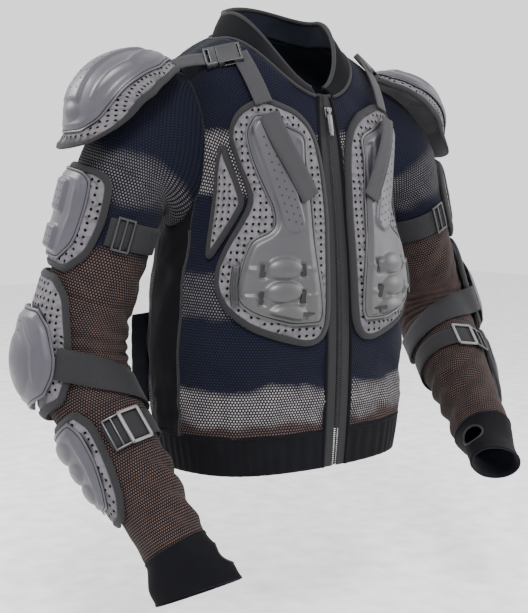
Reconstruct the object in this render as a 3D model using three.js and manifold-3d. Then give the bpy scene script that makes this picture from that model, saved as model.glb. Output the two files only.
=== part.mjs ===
// Armoured mesh riding jacket with chest, spine, shoulder, arm and elbow guards, in the shape it has
// when it is worn with both arms bent.
// Millimetres, +Z up. The front faces -Y and the wearer's right arm is at -X.
// The origin is the middle of the neck opening.

import * as THREE from 'three';
import { mergeVertices } from 'three/addons/utils/BufferGeometryUtils.js';
import { RoundedBoxGeometry } from 'three/addons/geometries/RoundedBoxGeometry.js';
import Module from 'manifold-3d';

const wasm = await Module();
wasm.setup();

// ---------------------------------------------------------------- driving dimensions
const GAP = 0.5;
const FABRIC = 3;
const SEGMENTS = 18;
const SIDES = [['right', -1], ['left', 1]];

// The front edge of the torso is an arc, so that the zip slider can turn about one far axis.
const ZIP_ARC = { radius: 1687, centreY: 1538.7, centreZ: -394.6 };
// Rings of the torso from the collar to the hem:
// half width, depth behind the middle, height at the front, at the side and at the back.
const TORSO_RINGS = [
  [84, 66, -52, 32, 52],
  [114, 82, -68, 20, 38],
  [142, 95, -92, 4, 16],
  [160, 103, -124, -16, -14],
  [163, 109, -180, -110, -100],
  [166, 113, -225, -185, -178],
  [182, 116, -285, -262, -255],
  [197, 116, -370, -362, -358],
  [199, 111, -455, -452, -450],
  [195, 107, -520, -520, -520],
  [187, 102, -572, -572, -572],
];
const SQUARENESS = 0.18;
const COLLAR_SEAM = 0.3;
const ARMHOLE_TOP = 4.8;
const ARMHOLE_BOTTOM = 5.2;
const HEM_SEAM = 9;
const PANEL_ROWS = [COLLAR_SEAM, 1, 1.7, 2.4, 3, 3.6, 4.2, ARMHOLE_TOP, ARMHOLE_BOTTOM, 5.8, 6.5, 7.3, HEM_SEAM];
// Seams of the torso, as angles from the front centre.
const ZIP_EDGE = 0.092;
const SHOULDER_SEAM = Math.PI / 2;
const FRONT_SEAM = 1.35;
const BACK_SEAM = 1.85;
const COLLAR_RIM = { width: 80, front: 100, back: 62, zFront: -44, zSide: 64, zBack: 84 };
const ARMHOLE = { y: 8, z: -128, halfDepth: 58, halfHeight: 106 };

// Arms: shoulder point, direction of the upper arm and of the forearm, and both lengths.
const SHOULDER = { x: 226, y: 0, z: -86 };
const ARM_DIRECTIONS = {
  right: [[-82, 60, -338], [70, -206, -288]],
  left: [[148, 40, -294], [-134, -265, -195]],
};
const UPPER_LENGTH = 345;
const FOREARM_LENGTH = 358;
const GUSSET = 92;
const UPPER_RADIUS = [72, 60];
const FOREARM_RADIUS = [60, 44];
const ELBOW_BULGE = 14;
const CUFF_START = 292;
const CUFF = { halfWidth: 57, halfDepth: 31, slant: 12, wall: 3 };
const THUMB_HOLE = { along: 330, radius: 17 };
const PAD = { inner: 1.8, outer: 9.5 };
const SHELL = { inner: 11.2, outer: 14.6 };
const ELBOW_STAND_OFF = { pad: 3, shell: 8 };

// Back: the spine pad, its overlapping plates and the kidney belt, as heights.
const SPINE_PAD = { top: 8, bottom: -505, halfAngle: 0.5 };
const SPINE_PLATES = [[2, -135], [-121, -262], [-248, -385], [-371, -494]];
const BELT = { top: -362, bottom: -492, edge: 1.98, standOff: 18 };

// ---------------------------------------------------------------- materials
const FINISHES = {
  mesh: [0x2b2c33, 0.95, 0],
  lycra: [0x1d1e24, 0.9, 0],
  pad: [0x77767b, 0.85, 0],
  shell: [0x6b6a70, 0.45, 0],
  webbing: [0x33323a, 0.9, 0],
  buckle: [0x3c3b42, 0.5, 0],
  zip: [0x17171b, 0.6, 0.1],
  metal: [0x55565c, 0.35, 0.9],
};
const MATERIALS = Object.fromEntries(Object.entries(FINISHES).map(([name, [color, roughness, metalness]]) => [
  name, new THREE.MeshStandardMaterial({ name, color, roughness, metalness, side: THREE.DoubleSide }),
]));

const jacket = new THREE.Group();

function add(name, geometry, finish) {
  const mesh = new THREE.Mesh(geometry, MATERIALS[finish]);
  mesh.name = name;
  jacket.add(mesh);
  return mesh;
}

// ---------------------------------------------------------------- solids from grids
const vector = (x, y, z) => new THREE.Vector3(x, y, z);
const mix = THREE.MathUtils.lerp;

function signedVolume(positions, triangles) {
  const [a, b, c] = [vector(), vector(), vector()];
  let volume = 0;
  for (let i = 0; i < triangles.length; i += 3) {
    a.fromArray(positions, 3 * triangles[i]);
    b.fromArray(positions, 3 * triangles[i + 1]);
    c.fromArray(positions, 3 * triangles[i + 2]);
    volume += a.dot(b.cross(c));
  }
  return volume;
}

function solidFrom(positions, triangles) {
  const faces = signedVolume(positions, triangles) < 0 ? [...triangles].reverse() : triangles;
  const geometry = new THREE.BufferGeometry();
  geometry.setAttribute('position', new THREE.Float32BufferAttribute(positions, 3));
  geometry.setIndex(faces);
  geometry.computeVertexNormals();
  return geometry;
}

// A wall between two grids of points. Around means that each row closes on itself.
function gridSolid(outer, inner, around = false) {
  const rows = outer.length;
  const columns = outer[0].length;
  const spans = around ? columns : columns - 1;
  const positions = [...outer.flat(), ...inner.flat()].flatMap((point) => point.toArray());
  const on = (row, column) => row * columns + (column % columns);
  const under = (row, column) => rows * columns + on(row, column);
  const triangles = [];
  const quad = (a, b, c, d) => triangles.push(a, b, c, a, c, d);
  for (let row = 0; row < rows - 1; row += 1) {
    for (let i = 0; i < spans; i += 1) {
      quad(on(row, i), on(row, i + 1), on(row + 1, i + 1), on(row + 1, i));
      quad(under(row, i), under(row + 1, i), under(row + 1, i + 1), under(row, i + 1));
    }
  }
  for (let i = 0; i < spans; i += 1) {
    quad(on(0, i + 1), on(0, i), under(0, i), under(0, i + 1));
    quad(on(rows - 1, i), on(rows - 1, i + 1), under(rows - 1, i + 1), under(rows - 1, i));
  }
  for (let row = 0; row < rows - 1 && !around; row += 1) {
    const end = columns - 1;
    quad(on(row, 0), on(row + 1, 0), under(row + 1, 0), under(row, 0));
    quad(on(row + 1, end), on(row, end), under(row, end), under(row + 1, end));
  }
  return solidFrom(positions, triangles);
}

// Rows of [height, first edge, second edge] smoothed through a short list of them.
function outlineRows(points, count) {
  const curve = new THREE.CatmullRomCurve3(points.map((point) => vector(...point)), false, 'centripetal');
  return curve.getPoints(count).map((point) => point.toArray());
}

// A pad, plate or sheet laid on a surface. place(across, along, offset) is a point of the surface,
// rows hold [along, first edge, second edge], and both offsets may depend on the place in the piece.
function laidPiece({ place, rows, columns, inner, outer }) {
  const offset = (value, s, t) => (typeof value === 'function' ? value(s, t) : value);
  const face = (value) => rows.map(([along, first, second], row) => {
    const t = row / (rows.length - 1);
    return Array.from({ length: columns + 1 }, (_, i) => {
      const s = i / columns;
      return place(mix(first, second, s), along, offset(value, s, t));
    });
  });
  return gridSolid(face(outer), face(inner));
}

// Thinner at the rim than in the middle.
const crowned = (inner, outer, rim = 0.5) => (s, t) => {
  const edge = Math.min(1, 6 * Math.min(s, 1 - s, t, 1 - t));
  return inner + (outer - inner) * mix(rim, 1, edge);
};

function ringSolid(outerRings, innerRings) {
  return gridSolid(outerRings, innerRings, true);
}

// ---------------------------------------------------------------- cutting and joining
function toManifold(mesh) {
  mesh.updateMatrixWorld(true);
  const bare = mesh.geometry.clone().applyMatrix4(mesh.matrixWorld);
  bare.deleteAttribute('normal');
  bare.deleteAttribute('uv');
  const merged = mergeVertices(bare, 1e-4);
  return new wasm.Manifold(new wasm.Mesh({
    numProp: 3,
    vertProperties: new Float32Array(merged.attributes.position.array),
    triVerts: new Uint32Array(merged.index.array),
  }));
}

function fromManifold(solid) {
  const { vertProperties, triVerts } = solid.getMesh();
  const geometry = new THREE.BufferGeometry();
  geometry.setAttribute('position', new THREE.Float32BufferAttribute(vertProperties, 3));
  geometry.setIndex([...triVerts]);
  geometry.computeVertexNormals();
  return geometry;
}

const meshOf = (geometry) => new THREE.Mesh(geometry);

function subtract(geometry, ...tools) {
  let solid = toManifold(meshOf(geometry));
  tools.forEach((tool) => { solid = solid.subtract(toManifold(tool)); });
  return fromManifold(solid);
}

function join(...meshes) {
  const [first, ...rest] = meshes.map(toManifold);
  return fromManifold(rest.reduce((solid, other) => solid.add(other), first));
}

function box(width, depth, height, x, y, z) {
  const mesh = meshOf(new THREE.BoxGeometry(width, depth, height));
  mesh.position.set(x, y, z);
  return mesh;
}

// ---------------------------------------------------------------- torso surface
function torsoRing(v) {
  const last = TORSO_RINGS.length - 1;
  const at = Math.min(Math.max(v, 0), last - 1e-6);
  const i = Math.floor(at);
  const t = at - i;
  const p1 = TORSO_RINGS[i];
  const p2 = TORSO_RINGS[i + 1];
  const p0 = TORSO_RINGS[i - 1] ?? p1.map((value, k) => 2 * value - p2[k]);
  const p3 = TORSO_RINGS[i + 2] ?? p2.map((value, k) => 2 * value - p1[k]);
  return p1.map((value, k) => 0.5 * (2 * value + (p2[k] - p0[k]) * t
    + (2 * p0[k] - 5 * value + 4 * p2[k] - p3[k]) * t * t
    + (3 * value - p0[k] - 3 * p2[k] + p3[k]) * t * t * t));
}

function frontDepth(z) {
  return Math.sqrt(ZIP_ARC.radius ** 2 - (z - ZIP_ARC.centreZ) ** 2) - ZIP_ARC.centreY;
}

function torsoSkin(theta, v) {
  const [width, back, zFront, zSide, zBack] = torsoRing(v);
  const [cos, sin] = [Math.cos(theta), Math.sin(theta)];
  const depth = cos > 0 ? frontDepth(zFront) : back;
  return vector(
    width * sin * (1 + SQUARENESS * cos * cos),
    -depth * cos * (1 + SQUARENESS * sin * sin),
    zSide + (zFront - zSide) * Math.max(cos, 0) ** 2 + (zBack - zSide) * Math.max(-cos, 0) ** 2,
  );
}

function torsoNormal(theta, v) {
  const step = 1e-3;
  const down = torsoSkin(theta, Math.min(v + step, 10)).sub(torsoSkin(theta, v - step));
  const around = torsoSkin(theta + step, v).sub(torsoSkin(theta - step, v));
  return down.cross(around).normalize();
}

function torsoByRing(theta, v, offset) {
  return torsoSkin(theta, v).addScaledVector(torsoNormal(theta, v), offset);
}

function ringAtHeight(theta, z) {
  let [low, high] = [0, 10];
  for (let i = 0; i < 30; i += 1) {
    const middle = (low + high) / 2;
    if (torsoSkin(theta, middle).z > z) low = middle;
    else high = middle;
  }
  return low;
}

function torsoAtHeight(theta, z, offset) {
  return torsoByRing(theta, ringAtHeight(theta, z), offset);
}

// How far to the side the torso is, at a depth and a height.
function torsoHalfWidth(y, z) {
  let [low, high] = [0, 10];
  const angleAt = (v) => {
    let [front, back] = [0, Math.PI];
    for (let i = 0; i < 30; i += 1) {
      const middle = (front + back) / 2;
      if (torsoSkin(middle, v).y < y) front = middle;
      else back = middle;
    }
    return front;
  };
  for (let i = 0; i < 30; i += 1) {
    const middle = (low + high) / 2;
    if (torsoSkin(angleAt(middle), middle).z > z) low = middle;
    else high = middle;
  }
  return torsoSkin(angleAt(low), low).x;
}

// ---------------------------------------------------------------- torso pieces
function armholeTool(side) {
  const tool = meshOf(new THREE.CylinderGeometry(1, 1, 200, 28));
  tool.rotation.z = Math.PI / 2;
  const holder = new THREE.Group();
  holder.add(tool);
  holder.scale.set(1, ARMHOLE.halfDepth, ARMHOLE.halfHeight);
  holder.position.set(side * 212, ARMHOLE.y, ARMHOLE.z);
  holder.updateMatrixWorld(true);
  return tool;
}

function torsoSheet(rows, columns) {
  return laidPiece({ place: torsoByRing, rows, columns, inner: -FABRIC, outer: 0 });
}

function frontPanel(side) {
  const rows = PANEL_ROWS.map((v) => {
    const seam = v <= ARMHOLE_TOP ? SHOULDER_SEAM - 0.003 : FRONT_SEAM - 0.003;
    return [v, side * ZIP_EDGE, side * seam];
  });
  return subtract(torsoSheet(rows, 9), armholeTool(side));
}

function backPanel() {
  const rows = PANEL_ROWS.map((v) => {
    const seam = v <= ARMHOLE_TOP ? SHOULDER_SEAM + 0.003 : BACK_SEAM + 0.003;
    return [v, seam, 2 * Math.PI - seam];
  });
  return subtract(torsoSheet(rows, 13), armholeTool(-1), armholeTool(1));
}

function sidePanel(side) {
  const rows = PANEL_ROWS.filter((v) => v > ARMHOLE_TOP).map((v) => [v, side * FRONT_SEAM, side * BACK_SEAM]);
  return subtract(torsoSheet(rows, 2), armholeTool(side));
}

function hemBand() {
  const rows = [HEM_SEAM + 0.012, 9.5, 9.995].map((v) => [v, ZIP_EDGE, 2 * Math.PI - ZIP_EDGE]);
  return torsoSheet(rows, 22);
}

function collarPoint(theta, rise, offset) {
  const foot = torsoSkin(theta, COLLAR_SEAM - 0.1);
  const [cos, sin] = [Math.cos(theta), Math.sin(theta)];
  const rim = COLLAR_RIM;
  const top = vector(
    rim.width * sin,
    -(cos > 0 ? rim.front : rim.back) * cos,
    rim.zSide + ((cos > 0 ? rim.zFront : rim.zBack) - rim.zSide) * cos * cos,
  );
  const outward = vector(sin, -cos, 0.35 * (1 - rise)).normalize();
  return foot.lerp(top, rise).addScaledVector(outward, offset);
}

function collar() {
  const rows = [0, 0.5, 1].map((rise) => [rise, ZIP_EDGE + 0.05, 2 * Math.PI - ZIP_EDGE - 0.05]);
  return laidPiece({ place: collarPoint, rows, columns: 22, inner: -FABRIC, outer: 0 });
}

// Both tapes and the closed teeth between them.
function frontZip() {
  const across = [-0.088, -0.03, -0.022, 0.022, 0.03, 0.088];
  const raised = [0, 0, 1.6, 1.6, 0, 0];
  const heights = [0.02, 1, 2, 3.2, 5, 6, 7, 8, 9, 9.995];
  const face = (offsets) => heights.map((v) => across.map((theta, i) => torsoByRing(theta, v, offsets[i])));
  return gridSolid(face(raised.map((rise) => rise - 0.8)), face(raised.map(() => -2.4)));
}

// ---------------------------------------------------------------- zip slider and pull
const SLIDER = { width: 10, height: 15, thick: 2.6, offset: 1.3, z: -78 };
const LUG = { width: 1.8, rise: 5, spread: 3.6 };

function alongZip(z) {
  const group = new THREE.Group();
  const angle = Math.asin((z - ZIP_ARC.centreZ) / ZIP_ARC.radius);
  group.position.set(0, -frontDepth(z), z);
  group.rotation.x = -angle;
  return group;
}

function zipSlider() {
  const plateDepth = SLIDER.offset + SLIDER.thick / 2;
  const plate = box(SLIDER.width, SLIDER.thick, SLIDER.height, 0, -plateDepth, 0);
  const lugDepth = SLIDER.offset + SLIDER.thick + LUG.rise / 2 - 0.2;
  const lugs = [-1, 1].map((side) => box(LUG.width, LUG.rise, 6, side * LUG.spread, -lugDepth, 3));
  const holder = alongZip(SLIDER.z);
  const pieces = [plate, ...lugs];
  pieces.forEach((piece) => holder.add(piece));
  holder.updateMatrixWorld(true);
  return join(...pieces);
}

function zipPull() {
  const outline = new THREE.Shape();
  outline.moveTo(-2.3, 2);
  outline.lineTo(-2.3, -3);
  outline.lineTo(-4.2, -8);
  outline.lineTo(-3.4, -32);
  outline.absarc(0, -32, 3.4, Math.PI, 2 * Math.PI);
  outline.lineTo(4.2, -8);
  outline.lineTo(2.3, -3);
  outline.lineTo(2.3, 2);
  const geometry = new THREE.ExtrudeGeometry(outline, { depth: 1.8, bevelEnabled: false, curveSegments: 6 });
  geometry.rotateX(Math.PI / 2);
  geometry.translate(0, -(SLIDER.offset + SLIDER.thick + 1.2), 3);
  return geometry;
}

// ---------------------------------------------------------------- chest and rib guards
// Heights with the inner and outer edge, as distances round the chest from the front centre.
const CHEST_RADIUS = 185;
const CHEST_PAD = [
  [-64, 112, 127], [-78, 66, 157], [-96, 40, 173], [-118, 27, 177], [-150, 21, 164], [-196, 18, 144],
  [-226, 17, 156], [-256, 17, 173], [-288, 17, 186], [-316, 17, 184], [-342, 17, 167], [-368, 19, 128],
  [-386, 26, 80], [-394, 38, 52],
];
const CHEST_SHELL = [
  [-84, 108, 132], [-97, 86, 143], [-108, 56, 148], [-120, 49, 147], [-146, 50, 140], [-190, 46, 119],
  [-212, 45, 108], [-236, 43, 106], [-252, 41, 136], [-284, 36, 147], [-316, 31, 152], [-336, 29, 145],
  [-352, 28, 118], [-366, 32, 70],
];
const RIB_PAD = [
  [-124, 185, 195], [-140, 180, 202], [-165, 167, 206], [-200, 153, 208], [-216, 159, 208],
  [-250, 179, 207], [-276, 197, 206],
];

function chestPiece(outline, side, columns, layer) {
  const rows = outlineRows(outline, outline.length - 1);
  const angled = rows.map(([z, first, second]) => [z, (side * first) / CHEST_RADIUS, (side * second) / CHEST_RADIUS]);
  return laidPiece({ place: torsoAtHeight, rows: angled, columns, inner: layer.inner, outer: layer.outer });
}

// ---------------------------------------------------------------- spine and kidney guards
function spinePad() {
  const { top, bottom, halfAngle } = SPINE_PAD;
  const rows = outlineRows([
    [top, -0.34, 0.34], [-60, -0.5, 0.5], [-200, -halfAngle, halfAngle], [-360, -0.44, 0.44],
    [-450, -0.5, 0.5], [bottom, -0.36, 0.36],
  ], 10);
  const place = (across, z, offset) => torsoAtHeight(Math.PI + across, z, offset);
  const lift = (s, t) => mix(1.8, 8, THREE.MathUtils.smoothstep(t, 0.4, 0.66));
  return laidPiece({ place, rows, columns: 6, inner: lift, outer: crowned(8.5, 15, 0.7) });
}

const PLATE_SHAPE = [[0, 0.28], [0.12, 0.37], [0.5, 0.41], [0.88, 0.35], [1, 0.22]];

function spinePlate([top, bottom]) {
  const rows = outlineRows(PLATE_SHAPE.map(([t, half]) => [mix(top, bottom, t), -half, half]), 7);
  const place = (across, z, offset) => torsoAtHeight(Math.PI + across, z, offset);
  const under = (s, t) => 16 + 8.5 * THREE.MathUtils.smoothstep(t, 0.55, 0.9);
  const over = (s, t) => under(s, t) + 3.4;
  return laidPiece({ place, rows, columns: 6, inner: under, outer: over });
}

// The top plate carries a flat raised face between the shoulder blades.
const REST_FACE = { z: -62, width: 56, height: 60, offset: 23 };

function topSpinePlate() {
  const plate = meshOf(spinePlate(SPINE_PLATES[0]));
  const normal = torsoNormal(Math.PI, ringAtHeight(Math.PI, REST_FACE.z));
  const pad = meshOf(new THREE.BoxGeometry(REST_FACE.width, 10, REST_FACE.height));
  pad.position.copy(torsoAtHeight(Math.PI, REST_FACE.z, REST_FACE.offset - 5));
  pad.rotation.x = Math.atan2(normal.z, normal.y);
  const keep = meshOf(new THREE.BoxGeometry(200, 40, 200));
  keep.rotation.x = pad.rotation.x;
  keep.position.copy(torsoAtHeight(Math.PI, REST_FACE.z, 16.2)).addScaledVector(normal, 20);
  const raised = toManifold(pad).intersect(toManifold(keep));
  return fromManifold(toManifold(plate).add(raised));
}

function kidneyBelt() {
  const rows = [0, 0.33, 0.67, 1].map((t) => [mix(BELT.top, BELT.bottom, t), BELT.edge, 2 * Math.PI - BELT.edge]);
  const away = (s) => BELT.standOff * Math.max(0, Math.abs(2 * s - 1) * 3 - 2) ** 2;
  return laidPiece({
    place: torsoAtHeight, rows, columns: 16, inner: (s) => 1.4 + away(s), outer: (s) => 5 + away(s),
  });
}

// ---------------------------------------------------------------- arm frames
function makeArm(name, side) {
  const [upper, fore] = ARM_DIRECTIONS[name].map((direction) => vector(...direction).normalize());
  const shoulder = vector(side * SHOULDER.x, SHOULDER.y, SHOULDER.z);
  const elbow = shoulder.clone().addScaledVector(upper, UPPER_LENGTH);
  const palm = elbow.clone().addScaledVector(fore, FOREARM_LENGTH);
  const flex = upper.clone().cross(fore).normalize();
  const lateral = flex.clone().multiplyScalar(side * Math.sign(flex.x));
  const backUpper = fore.clone().addScaledVector(upper, -fore.dot(upper)).normalize().negate();
  const backFore = upper.clone().addScaledVector(fore, -upper.dot(fore)).normalize();
  return { name, side, upper, fore, shoulder, elbow, palm, lateral, backUpper, backFore };
}

function upperRadius(along) {
  const t = Math.min(1, Math.max(0, along / (UPPER_LENGTH - GUSSET)));
  return mix(UPPER_RADIUS[0], UPPER_RADIUS[1], Math.sqrt(t));
}

function foreRadius(along) {
  return mix(FOREARM_RADIUS[0], FOREARM_RADIUS[1], THREE.MathUtils.smoothstep(along, 40, CUFF_START));
}

// Angle zero is the back of the arm and a quarter turn is its outer side.
function ringPoint(centre, back, lateral, angle, radius) {
  return centre.clone()
    .addScaledVector(back, radius * Math.cos(angle))
    .addScaledVector(lateral, radius * Math.sin(angle));
}

function upperPlace(arm) {
  return (angle, along, offset) => {
    const centre = arm.shoulder.clone().addScaledVector(arm.upper, along);
    return ringPoint(centre, arm.backUpper, arm.lateral, angle, upperRadius(along) + offset);
  };
}

function forePlace(arm) {
  return (angle, along, offset) => {
    const centre = arm.elbow.clone().addScaledVector(arm.fore, along);
    return ringPoint(centre, arm.backFore, arm.lateral, angle, foreRadius(along) + offset);
  };
}

// The bend of the sleeve: along runs from minus GUSSET on the upper arm to plus GUSSET on the forearm.
function elbowPlace(arm) {
  return (angle, along, offset) => {
    if (along <= -GUSSET) return upperPlace(arm)(angle, UPPER_LENGTH + along, offset);
    if (along >= GUSSET) return forePlace(arm)(angle, along, offset);
    const t = (along + GUSSET) / (2 * GUSSET);
    const centre = arm.elbow.clone()
      .addScaledVector(arm.upper, -GUSSET * (1 - t) ** 2)
      .addScaledVector(arm.fore, GUSSET * t * t);
    const back = arm.backUpper.clone().lerp(arm.backFore, t).normalize();
    const radius = mix(upperRadius(UPPER_LENGTH - GUSSET), foreRadius(GUSSET), t);
    const bulge = ELBOW_BULGE * Math.sin(Math.PI * t) ** 2 * Math.max(0, Math.cos(angle));
    return ringPoint(centre, back, arm.lateral, angle, radius + bulge + offset);
  };
}

const turns = Array.from({ length: SEGMENTS }, (_, i) => (2 * Math.PI * i) / SEGMENTS);

function tube(place, rings, inner = -FABRIC) {
  const face = (offset) => rings.map((ring) => turns.map((angle) => place(angle, ring(angle), offset)));
  return ringSolid(face(0), face(inner));
}

// The sleeve is longer on the armpit side, so its top ring is slanted.
const headEnd = (angle) => 100 - 28 * Math.sin(angle);

// ---------------------------------------------------------------- sleeves
function sleeveHead(arm) {
  const end = upperPlace(arm);
  const steps = [0, 0.15, 0.35, 0.58, 0.8, 1];
  const curve = (angle, inset) => {
    const finish = end(angle, headEnd(angle) - GAP, -inset);
    const round = finish.clone().sub(arm.shoulder);
    const spin = Math.atan2(round.y, arm.side * round.x + 0.25 * round.z);
    const toLateral = Math.cos(spin);
    const y = ARMHOLE.y + (ARMHOLE.halfDepth - 0.8 - inset) * Math.sin(spin);
    const z = ARMHOLE.z + (ARMHOLE.halfHeight - 0.8 - inset) * toLateral;
    const start = vector(arm.side * (torsoHalfWidth(y, z) - 2), y, z);
    const pull = start.distanceTo(finish) * 1.05;
    const leave = vector(arm.side, 0, 0.12 * toLateral).normalize().multiplyScalar(pull);
    const arrive = arm.upper.clone().multiplyScalar(pull);
    return { start, finish, leave, arrive };
  };
  const hermite = ({ start, finish, leave, arrive }, t) => start.clone()
    .multiplyScalar(2 * t ** 3 - 3 * t ** 2 + 1)
    .addScaledVector(leave, t ** 3 - 2 * t ** 2 + t)
    .addScaledVector(finish, 3 * t ** 2 - 2 * t ** 3)
    .addScaledVector(arrive, t ** 3 - t ** 2);
  const face = (inset) => {
    const curves = turns.map((angle) => curve(angle, inset));
    return steps.map((t) => curves.map((each) => hermite(each, t)));
  };
  return ringSolid(face(0), face(FABRIC));
}

function upperSleeve(arm) {
  const bottom = UPPER_LENGTH - GUSSET;
  const ring = (t) => (angle) => mix(headEnd(angle), bottom, t);
  return tube(upperPlace(arm), [0, 0.35, 0.7, 1].map(ring));
}

function elbowGusset(arm) {
  const reach = GUSSET - GAP;
  return tube(elbowPlace(arm), [-1, -0.6, -0.2, 0.2, 0.6, 1].map((t) => () => t * reach));
}

function forearmSleeve(arm) {
  return tube(forePlace(arm), [GUSSET, 150, 215, CUFF_START - GAP].map((along) => () => along));
}

// The flat of the hand: its wide axis leans from the inner side of the arm towards the body.
function handAxes(arm) {
  const wide = arm.lateral.clone().multiplyScalar(-0.458).addScaledVector(arm.backFore, -0.889).normalize();
  return { wide, flat: wide.clone().cross(arm.fore).normalize() };
}

function cuff(arm) {
  const { wide, flat } = handAxes(arm);
  const wrist = foreRadius(CUFF_START);
  const point = (angle, t, inset) => {
    const length = FOREARM_LENGTH + CUFF.slant * Math.cos(angle);
    const swell = THREE.MathUtils.smoothstep(t, 0, 0.7);
    const halfWidth = mix(wrist, CUFF.halfWidth, swell) - inset;
    const halfDepth = mix(wrist, CUFF.halfDepth, swell) - inset;
    return arm.elbow.clone()
      .addScaledVector(arm.fore, mix(CUFF_START, length, t))
      .addScaledVector(wide, halfWidth * Math.cos(angle))
      .addScaledVector(flat, halfDepth * Math.sin(angle));
  };
  const face = (inset) => [0, 0.25, 0.5, 0.75, 1].map((t) => turns.map((angle) => point(angle, t, inset)));
  const hole = meshOf(new THREE.CylinderGeometry(THUMB_HOLE.radius, THUMB_HOLE.radius, 40, 20));
  hole.quaternion.setFromUnitVectors(vector(0, 1, 0), wide);
  hole.position.copy(arm.elbow)
    .addScaledVector(arm.fore, THUMB_HOLE.along)
    .addScaledVector(wide, CUFF.halfWidth);
  return subtract(ringSolid(face(0), face(CUFF.wall)), hole);
}

// ---------------------------------------------------------------- arm guards
// The shoulder cup: rise goes from the neck side over the top and down the arm, in degrees.
// Past a quarter turn the cup hangs straight down and flares out.
const CUP = { lateral: 92, up: 73, front: 76, flare: 0.85 };

function cupPlace(arm) {
  return (swing, rise, offset) => {
    const [a, b] = [THREE.MathUtils.degToRad(rise), THREE.MathUtils.degToRad(swing)];
    const hang = Math.max(0, a - Math.PI / 2);
    return arm.shoulder.clone().add(vector(
      arm.side * ((CUP.lateral + offset) * Math.sin(a - hang) + CUP.flare * CUP.up * hang ** 2) * Math.cos(b),
      -(CUP.front + offset) * Math.sin(b),
      ((CUP.up + offset) * Math.cos(a - hang) - CUP.up * hang) * Math.cos(b),
    ));
  };
}

const CUP_PAD = [[-24, -30, 34], [0, -52, 56], [40, -62, 66], [82, -60, 60], [110, -50, 48], [125, -34, 32]];
const CUP_SHELL = [[-14, -22, 26], [6, -40, 44], [40, -46, 48], [76, -44, 42], [98, -34, 30], [109, -20, 16]];

function cupPiece(arm, outline, layer) {
  return laidPiece({ place: cupPlace(arm), rows: outlineRows(outline, 9), columns: 8, ...layer });
}

const degrees = THREE.MathUtils.degToRad;

// Guards on the arm: rows of [along, half angle] round a middle angle.
function armPiece(place, middle, outline, count, columns, layer) {
  const rows = outlineRows(outline.map(([along, half]) => [along, -half, half]), count);
  const turned = rows.map(([along, first, second]) => [
    along, degrees(middle + first), degrees(middle + second),
  ]);
  return laidPiece({ place, rows: turned, columns, ...layer });
}

// The middle of each guard, as an angle from the back of the arm to its outer side, in degrees.
const UPPER_FACING = 50;
const FORE_FACING = 42;
const UPPER_PAD = [[84, 44], [95, 60], [146, 64], [194, 56], [224, 34]];
const UPPER_SHELL = [[91, 28], [101, 40], [140, 42], [184, 38], [212, 22]];
const ELBOW_PAD = [[-112, 34], [-88, 56], [-30, 66], [30, 62], [62, 44]];
const ELBOW_SHELL = [[-66, 30], [-44, 46], [0, 52], [28, 46], [46, 32]];
const FORE_PAD = [[80, 50], [110, 62], [160, 58], [206, 46], [232, 26]];
const FORE_SHELL = [[88, 38], [112, 45], [150, 43], [186, 32], [208, 18]];
const guardLayers = {
  pad: { inner: PAD.inner, outer: crowned(PAD.inner, PAD.outer) },
  shell: { inner: SHELL.inner, outer: crowned(SHELL.inner, SHELL.outer + 3, 0.6) },
};

// The elbow guard stands a little further off the sleeve, so that it can turn about the elbow.
const raised = ({ inner, outer }, gap) => ({ inner: inner + gap, outer: (s, t) => outer(s, t) + gap });

function strapBand(place, middleAlong, width, firstAngle, lastAngle, offset = 1.2) {
  const steps = 10;
  const angles = Array.from({ length: steps + 1 }, (_, i) => degrees(mix(firstAngle, lastAngle, i / steps)));
  const face = (lift) => angles.map((angle) => [-0.5, 0.5].map((across) => (
    place(angle, middleAlong(angle) + across * width, offset + lift))));
  return gridSolid(face(2), face(0));
}

// ---------------------------------------------------------------- shoulder buckles
const BUCKLE = { width: 36, height: 9, socket: 34, plug: 16, prong: 22, at: [1.2, 2.05], lift: 6.2 };

// A frame on the top of the shoulder: X runs from the neck side to the arm, Z points out of the cloth.
function buckleFrame(side) {
  const [theta, v] = BUCKLE.at;
  const normal = torsoNormal(side * theta, v);
  const origin = torsoByRing(side * theta, v, BUCKLE.lift);
  const target = vector(side * SHOULDER.x, -12, SHOULDER.z + CUP.up);
  const along = target.sub(origin).projectOnPlane(normal).normalize();
  const across = normal.clone().cross(along);
  const holder = new THREE.Group();
  holder.matrixAutoUpdate = false;
  holder.matrix.makeBasis(along, across, normal).setPosition(origin);
  holder.updateMatrixWorld(true);
  return holder;
}

function inFrame(side, pieces) {
  const holder = buckleFrame(side);
  pieces.forEach((piece) => holder.add(piece));
  holder.updateMatrixWorld(true);
  return pieces;
}

function buckleSocket(side) {
  const { width, height, socket } = BUCKLE;
  const body = meshOf(new RoundedBoxGeometry(socket, width, height, 1, 2));
  body.position.x = -socket / 2;
  const cavity = box(26, width - 8, 5.4, -12, 0, 0);
  const windows = box(12, width + 6, 5.4, -14, 0, 0);
  const slot = box(3.4, width - 10, height + 4, -socket + 5, 0, 0);
  const [whole, ...tools] = inFrame(side, [body, cavity, windows, slot]);
  const solid = tools.reduce((left, tool) => left.subtract(toManifold(tool)), toManifold(whole));
  return fromManifold(solid);
}

function bucklePlug(side) {
  const { width, height, plug, prong } = BUCKLE;
  const base = meshOf(new RoundedBoxGeometry(plug, width, height, 1, 2));
  base.position.x = plug / 2 + GAP;
  const prongs = [-1, 0, 1].map((lane) => box(prong + 4, 5, 4.4, -prong / 2 + 2, lane * 11, 0));
  const slot = box(3.4, width - 10, height + 4, plug - 4, 0, 0);
  const pieces = inFrame(side, [base, ...prongs, slot]);
  const cutter = toManifold(pieces.pop());
  const solid = pieces.map(toManifold).reduce((left, piece) => left.add(piece));
  return fromManifold(solid.subtract(cutter));
}

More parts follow.
